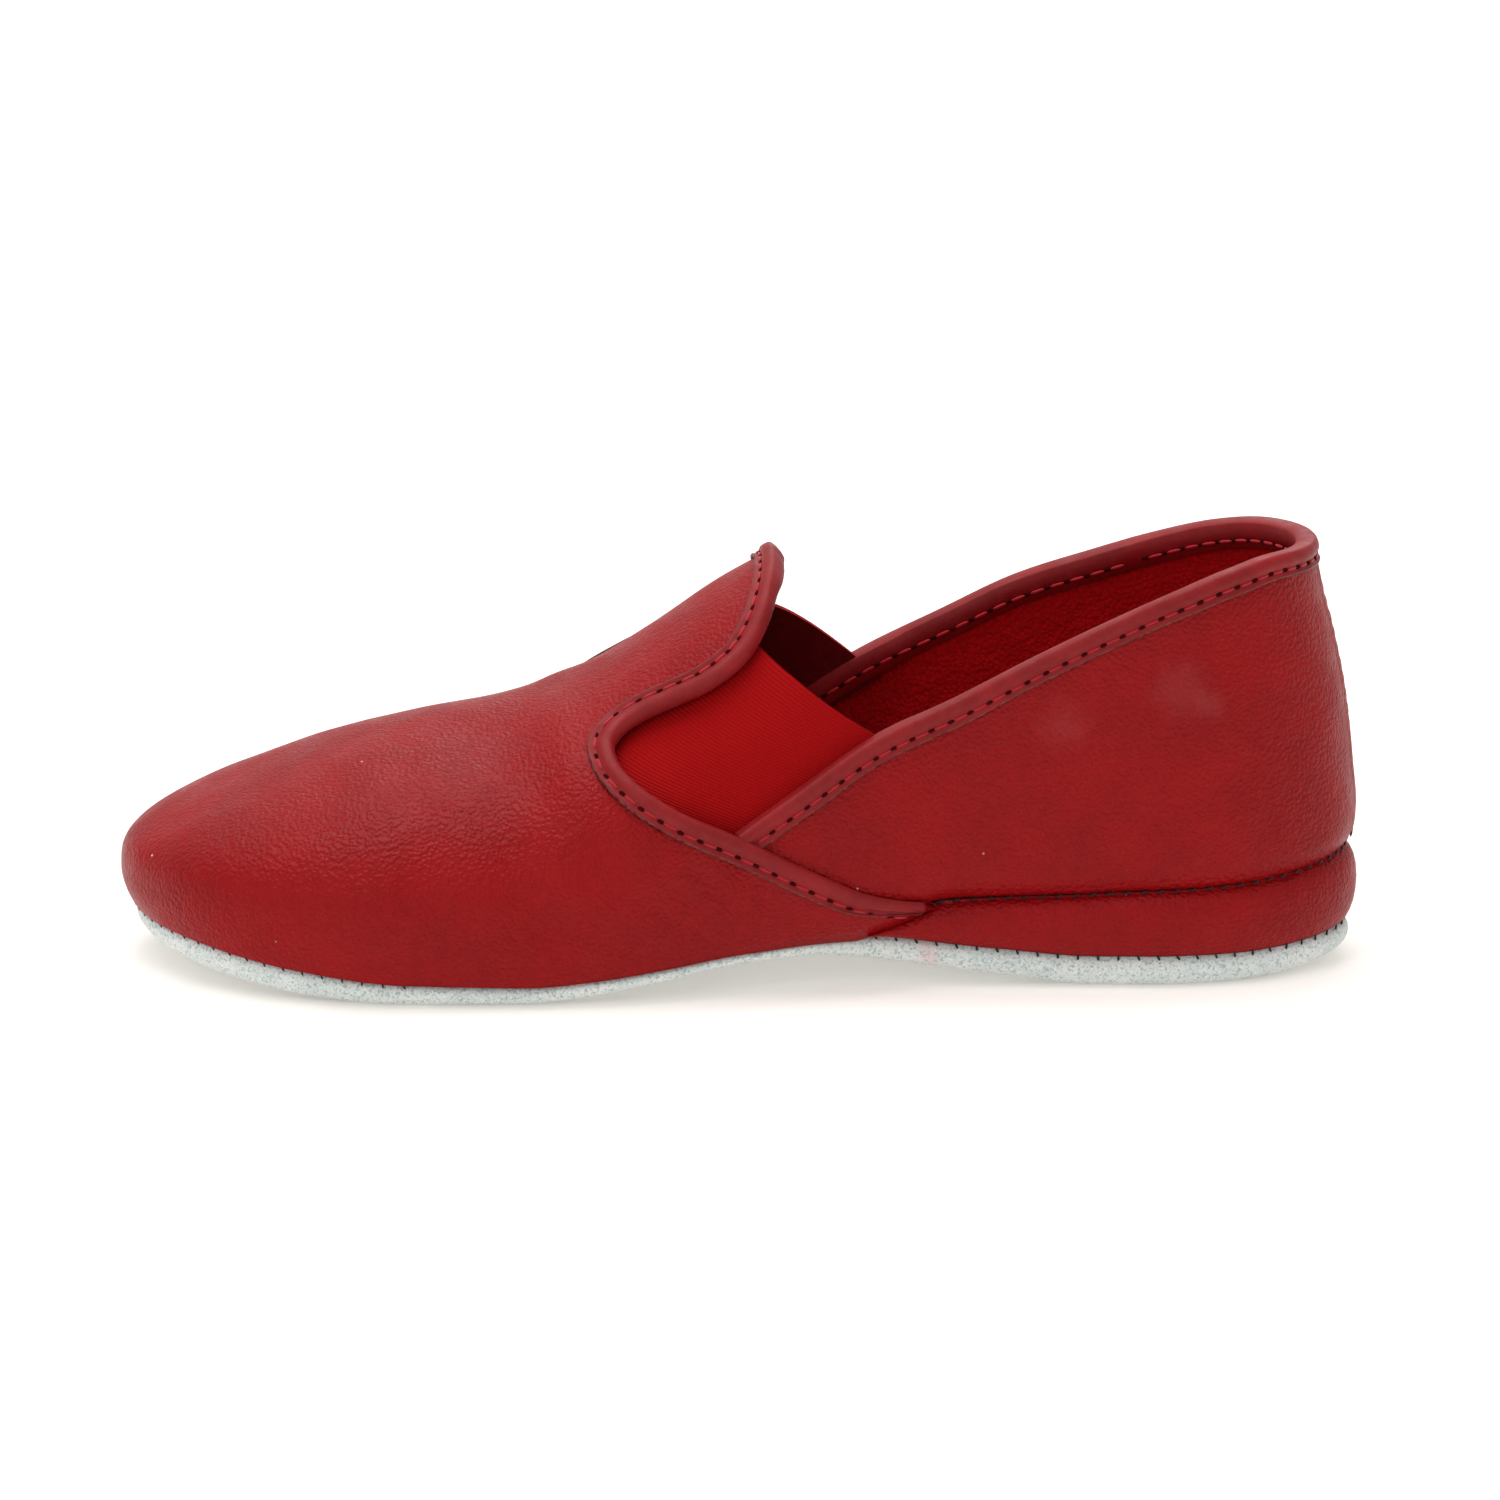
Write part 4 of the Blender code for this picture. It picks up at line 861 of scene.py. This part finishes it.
for side, name, bow in ((-1, "gore_lateral", -0.0012), (1, "gore_medial", 0.0015)):
    v = np.linspace(0, 1, RUNGS)
    u = np.linspace(0, 1, ACROSS)
    keys = [cubic(np.linspace(0, 1, len(gore_rows)), gore_rows[:, k])(v)[:, None] for k in range(4)]
    s = (keys[0] + (keys[2] - keys[0]) * u) * LENGTH
    z = (keys[1] + (keys[3] - keys[1]) * u) * INSTEP + bow * np.sin(np.pi * u) * (1 - v[:, None])
    ribs = 0.00035 * lattice(side_point(side, s, z), 0.012, 31)
    front = on_skin(side_point(side, s, z), -WALL - 0.0004 + ribs)
    rear = on_skin(side_point(side, s, z), -WALL - 0.0015 + 0.5 * ribs)
    size = front.shape[0] * front.shape[1]
    last = (RUNGS - 1) * ACROSS
    rim = np.concatenate((np.arange(ACROSS), np.arange(1, RUNGS) * ACROSS + ACROSS - 1,
                          last + np.arange(ACROSS - 2, -1, -1), np.arange(RUNGS - 2, 0, -1) * ACROSS))
    border = np.stack((rim, np.roll(rim, -1), np.roll(rim, -1) + size, rim + size), 1)
    turned = side > 0
    faces = [quads(RUNGS, ACROSS, turned=not turned), quads(RUNGS, ACROSS, size, turned=turned),
             border[:, ::-1] if not turned else border]
    gore = mesh_piece(name + "_elastic", np.concatenate((front, rear)), faces)
    uv = gore.data.uv_layers.new(name="UVMap")
    flat = np.stack(np.broadcast_arrays(u[None, :], v[:, None]), -1).reshape(-1, 2)
    both = np.concatenate((flat, flat))
    loops = np.zeros(len(gore.data.loops), dtype=np.int32)
    gore.data.loops.foreach_get("vertex_index", loops)
    uv.data.foreach_set("uv", both[loops].ravel())
    cover(gore, gore_paint.material)
    cover(gore, shaded_gore_back.material)
    # Rear faces take the painted-shade material
    inside = np.zeros(len(gore.data.polygons), dtype=np.int32)
    inside[len(faces[0]):len(faces[0]) + len(faces[1])] = 1
    gore.data.polygons.foreach_set("material_index", inside)
    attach(gore, "root")
    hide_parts(name)

# Heel wedge
# A foam wedge covered in the same red leather, bulging between the quarter and the sole and drawn down to
# a point at the waist. A deep seam closes it against the quarter.
BULGE, WEDGE_TIP, SOLE_SET_IN = 0.0021, 0.402 * LENGTH, 0.0012


def sole_plan(side, front, toe, bend=60, straight=150):
    """Edge of the sole in plan on one side: a quarter ellipse at the heel, the foot's edge, then the toe."""
    turn = 0.5 * np.pi * np.linspace(0, 1, bend + 1)[:-1]
    depth = HEEL_CENTRE - SOLE_SET_IN
    s = HEEL_CENTRE - depth * np.cos(turn)
    y = swing(HEEL_CENTRE) + side * reach(HEEL_CENTRE, side, True) * np.sin(turn)
    parts = [np.stack((s, y), 1)]
    s = np.linspace(HEEL_CENTRE, min(front, TOE_CENTRE), straight)
    parts.append(np.stack((s, swing(s) + side * reach(s, side, True)), 1))
    if toe:
        fan = 0.5 * np.pi * np.linspace(0, 1, bend + 1)[1:]
        s = TOE_CENTRE + (LENGTH - PROUD - OVERHANG - TOE_CENTRE) * np.sin(fan)
        y = swing(TOE_CENTRE) + side * reach(TOE_CENTRE, side, True) * np.cos(fan)
        parts.append(np.stack((s, y), 1))
    return np.concatenate(parts)


def padded_slab(name, front, toe, rows, height, across=28):
    """Rings along the plan, one for each share of the height and inset, closed by rungs above and below."""
    left, right_side = sole_plan(-1, front, toe), sole_plan(1, front, toe)
    plan = np.concatenate((left, right_side[::-1][1 if toe else 0:-1]))
    ahead = np.roll(plan, -1, 0) - np.roll(plan, 1, 0)
    inward = unit(np.stack((-ahead[:, 1], ahead[:, 0]), 1))
    if np.sum(inward * (plan.mean(0) - plan)) < 0:
        inward = -inward
    rings = []
    for share, amount in rows:
        moved = plan + inward * amount
        rings.append(np.stack((MID - moved[:, 0], moved[:, 1], height(plan[:, 0], share)), 1))
    count, long = len(plan), len(left)
    points, faces = [np.concatenate(rings)], [quads(len(rings), count, closed=True, turned=True)]
    first = len(points[0])
    for ring, flip in ((rings[0], False), (rings[-1], True)):
        mate = ring[(-np.arange(long)) % count]
        share = np.linspace(0, 1, across)[None, :, None]
        points.append((ring[:long, None] * (1 - share) + mate[:, None] * share).reshape(-1, 3))
        faces.append(quads(long, across, first, turned=flip))
        first += long * across
    return mesh_piece(name, np.concatenate(points), faces, 0.00001)


# Share of the wedge's height, share of the bulge
WEDGE_PUFF = ((0.0, -0.6), (0.05, -0.15), (0.14, 0.2), (0.26, 0.5), (0.40, 0.66), (0.55, 0.72),
              (0.70, 0.62), (0.82, 0.40), (0.91, 0.05), (0.97, -0.45), (1.0, -1.0))
wedge = padded_slab("heel_wedge_cover", WEDGE_TIP, False,
                    [(share, -puff * BULGE) for share, puff in WEDGE_PUFF],
                    lambda s, share: sole_top(s) + HAIR_GAP + share * (wedge_high(s) - HAIR_GAP))
WEDGE_SCUFFS = (((0.103, -0.0220, 0.0085), 0.0035, 0.22),)
cover(wedge, leather_paint("wedge_leather", WEDGE_SCUFFS))
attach(wedge, "root")
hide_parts("heel_wedge")


def off_the_foot(marks):
    """Unit directions in plan from the foot's middle line out to marks given as stations and widths."""
    hub = np.clip(marks[:, 0], HEEL_CENTRE, TOE_CENTRE)
    return unit(np.stack((-(marks[:, 0] - hub), marks[:, 1] - swing(hub), 0 * hub), 1))


# Near-black stitches sunk in the groove between wedge and quarter: real thread, darkened to paint the
# groove's shade
SEAM_END, SEAM_STITCHES, SEAM_SUNK, SEAM_SLANT = 0.345 * LENGTH, 30, 0.0010, 0.35
SEAM_LONG, SEAM_THICK = 0.0018, 0.0006
marks = np.concatenate([even(sole_plan(side, SEAM_END, False), SEAM_STITCHES) for side in (-1, 1)])
out = off_the_foot(marks)
centre = np.stack((MID - marks[:, 0], marks[:, 1], upper_low(marks[:, 0]) - 0.0001), 1)
along = unit(np.cross((0.0, 0.0, 1.0), out) + np.array((0.0, 0.0, SEAM_SLANT)))
wedge_seam = beads("wedge_seam_thread", centre - out * SEAM_SUNK, along, out, SEAM_LONG, SEAM_THICK,
                   SEAM_THICK, 6, 6)
cover(wedge_seam, thread_paint("dark_thread_and_groove_shade", (0.030, 0.002, 0.003), 1300))
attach(wedge_seam, "root")

# Sole
# Two layers of pale split suede round a thin soft filler, turned and closed with black thread, so the edge
# is a soft roll and the tread is flat only under heel and ball.
# Share of the sole's thickness, inset from its edge
SOLE_ROLL = ((0.0, 0.0050), (0.015, 0.0040), (0.05, 0.0029), (0.11, 0.0019), (0.20, 0.0011), (0.32, 0.00045),
             (0.46, 0.0001), (0.60, 0.0), (0.74, 0.0001), (0.86, 0.0005), (0.94, 0.0010), (1.0, 0.0019))
sole = padded_slab("suede_sole", LENGTH, True, SOLE_ROLL,
                   lambda s, share: sole_low(s) + share * sole_thick(s))
n = Nodes("split_suede")
pale, grey, teal = (0.810, 0.850, 0.820), (0.640, 0.710, 0.690), (0.250, 0.380, 0.380)
white, pink = (0.88, 0.93, 0.93), (0.74, 0.36, 0.38)
STAIN_AT, STAIN_RADIUS = (0.0375, -0.0270, 0.0070), 0.0045
colour = n.mix(n.ramp(n.noise(75, 5.0, 0.65), 0.32, 0.70), grey, pale)
colour = n.mix(n.ramp(n.noise(1500, 3.0, 0.7), 0.50, 0.62, 0.0, 0.75), colour, teal)
colour = n.mix(n.ramp(n.noise(1700, 3.0, 0.7), 0.54, 0.66, 0.0, 0.90), colour, white)
colour = n.mix(n.times(n.spot(STAIN_AT, STAIN_RADIUS), 0.40), colour, pink)
fuzz = n.bump(n.noise(1500, 5.0, 0.7), 0.00045, 0.9)
felt = n.bump(n.noise(190, 4.0, 0.6), 0.0007, 0.5, fuzz)
n.set(n.shader, Base_Color=colour, Roughness=0.96, Normal=felt, Specular_IOR_Level=0.15, Sheen_Weight=0.35,
      Sheen_Roughness=0.6)
cover(sole, n.material)
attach(sole, "root")
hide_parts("sole")

# Lining and insole
# Short-looped red fleece, glued in: one lining behind the quarter, one behind the vamp, and a sock that lies
# on wedge and sole.
LINING_ROWS, LINING_FRONT, LOOPS_HIGH = 70, 0.505 * LENGTH, 0.0005
FLEECE_PALE, FLEECE_DEEP = (0.450, 0.0024, 0.0055), (0.320, 0.0016, 0.0034)
fleece = Nodes("red_fleece")
loops_high = fleece.cells(1050)
pile = fleece.math("ADD", loops_high, fleece.times(fleece.noise(420, 4.0, 0.7), 0.8))
tone = fleece.mix(fleece.ramp(pile, 0.3, 1.1), FLEECE_PALE, FLEECE_DEEP)
fleece.set(fleece.shader, Base_Color=tone, Roughness=1.0, Normal=fleece.bump(pile, LOOPS_HIGH, 0.8),
           Specular_IOR_Level=0.1)
grid = quarter_grid(LINING_ROWS, 130, 60, LINING_FRONT, 0.0004)
normal = outward(grid)
level = np.linspace(0, 1, LINING_ROWS)[:, None]
puff = 0.0013 * np.sin(np.pi * np.clip(level * 1.06, 0, 1)) ** 0.6 + 0.0002
puff = puff + 0.00014 * lattice(grid, 0.0013, 41) + 0.00018 * lattice(grid, 0.0026, 42)
behind = blend(MID - grid[..., 0], 0.36 * LENGTH, 0.40 * LENGTH)
inner = grid - normal * (WALL - 0.0004 + puff * (1 - behind))[..., None]
quarter_lining = mesh_piece("quarter_lining", inner, quads(*inner.shape[:2], turned=True))
walled(quarter_lining, 0.0006)
grids = []
for side in (-1, 1):
    grid, normal = vamp_grid(side, 0.0)
    deep = 0.0009 + 0.0010 * np.clip(np.arange(grid.shape[1])[None, :] / 12, 0, 1)
    deep = deep + 0.00025 * lattice(grid, 0.0014, 43) - settled_leather(grid, side)[0]
    grids.append(grid - normal * deep[..., None])
close_middle(grids)
vamp_lining = mesh_piece("vamp_lining", np.concatenate([grid.reshape(-1, 3) for grid in grids]),
                         [quads(rows, columns), quads(rows, columns, count, True)], 0.00001)
walled(vamp_lining, 0.0005)
for piece in (quarter_lining, vamp_lining):
    cover(piece, fleece.material)
    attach(piece, "root")
    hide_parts("upper")
SOCK_ROLL = ((0.0, 0.0034), (0.5, 0.0026), (0.85, 0.0028), (1.0, 0.0040))
OFF_SEAT, SOCK_THICK = 0.0006, 0.003
insole = padded_slab("fleece_insole", LENGTH, True, SOCK_ROLL,
                     lambda s, share: sole_top(s) + seat_high(s) + OFF_SEAT + SOCK_THICK * share, 44)
cover(insole, fleece.material)
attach(insole, "root")
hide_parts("insole")

# Seam threads
# Black closing thread shows as short ticks where the upper meets the sole under heel and toe. A dark red
# one closes the seam down the back of the heel.
TICK_PITCH, TICK_LONG, TICK_THICK, TICK_OUT, TICK_IN = 0.0042, 0.0020, 0.0005, 0.0007, -0.0009
TOE_TICKS, HEEL_TICKS = 0.765 * LENGTH, 0.402 * LENGTH
BACK_LONG, BACK_WIDE, BACK_HIGH, BACK_PITCH = 0.0031, 0.0006, 0.0007, 0.0033
marks = []
for side in (-1, 1):
    plan = sole_plan(side, LENGTH, True)
    travelled = lengths_along(plan)
    at = np.arange(0.002, travelled[-1], TICK_PITCH)
    s = np.interp(at, travelled, plan[:, 0])
    y = np.interp(at, travelled, plan[:, 1])
    shown = (s > TOE_TICKS) | (s < HEEL_TICKS)
    marks.append(np.stack((s, y), 1)[shown])
marks = np.concatenate(marks)
centre = np.stack((MID - marks[:, 0], marks[:, 1], sole_top(marks[:, 0])), 1)
out = off_the_foot(marks)
centre += out * np.where(marks[:, :1] > TOE_TICKS, TICK_OUT, TICK_IN)
lean = np.cross(out, np.array((0.0, 0.0, 1.0)))
jitter = lattice(centre, 0.003, 51)[:, None]
rise = unit(np.array((0.0, 0.0, 1.0)) + lean * (0.35 + 0.5 * jitter) + out * 0.15)
ticks = beads("sole_seam_thread", centre, rise, out, TICK_LONG, TICK_THICK, TICK_THICK, 6, 6)
cover(ticks, thread_paint("black_thread", (0.012, 0.011, 0.014), 1200))
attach(ticks, "root")
z = np.arange(0.026, 0.082, BACK_PITCH)
centre = heel_point(-1, np.zeros_like(z), z) + np.array((0.0003, 0, 0))
way = unit(np.gradient(centre, axis=0))
out = np.cross(way, np.array((0.0, -1.0, 0.0)))
back_seam = beads("back_seam_thread", centre, way, out, BACK_LONG, BACK_WIDE, BACK_HIGH, 6, 6)
cover(back_seam, thread_paint("dark_red_thread", (0.055, 0.004, 0.005), 1300))
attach(back_seam, "root")
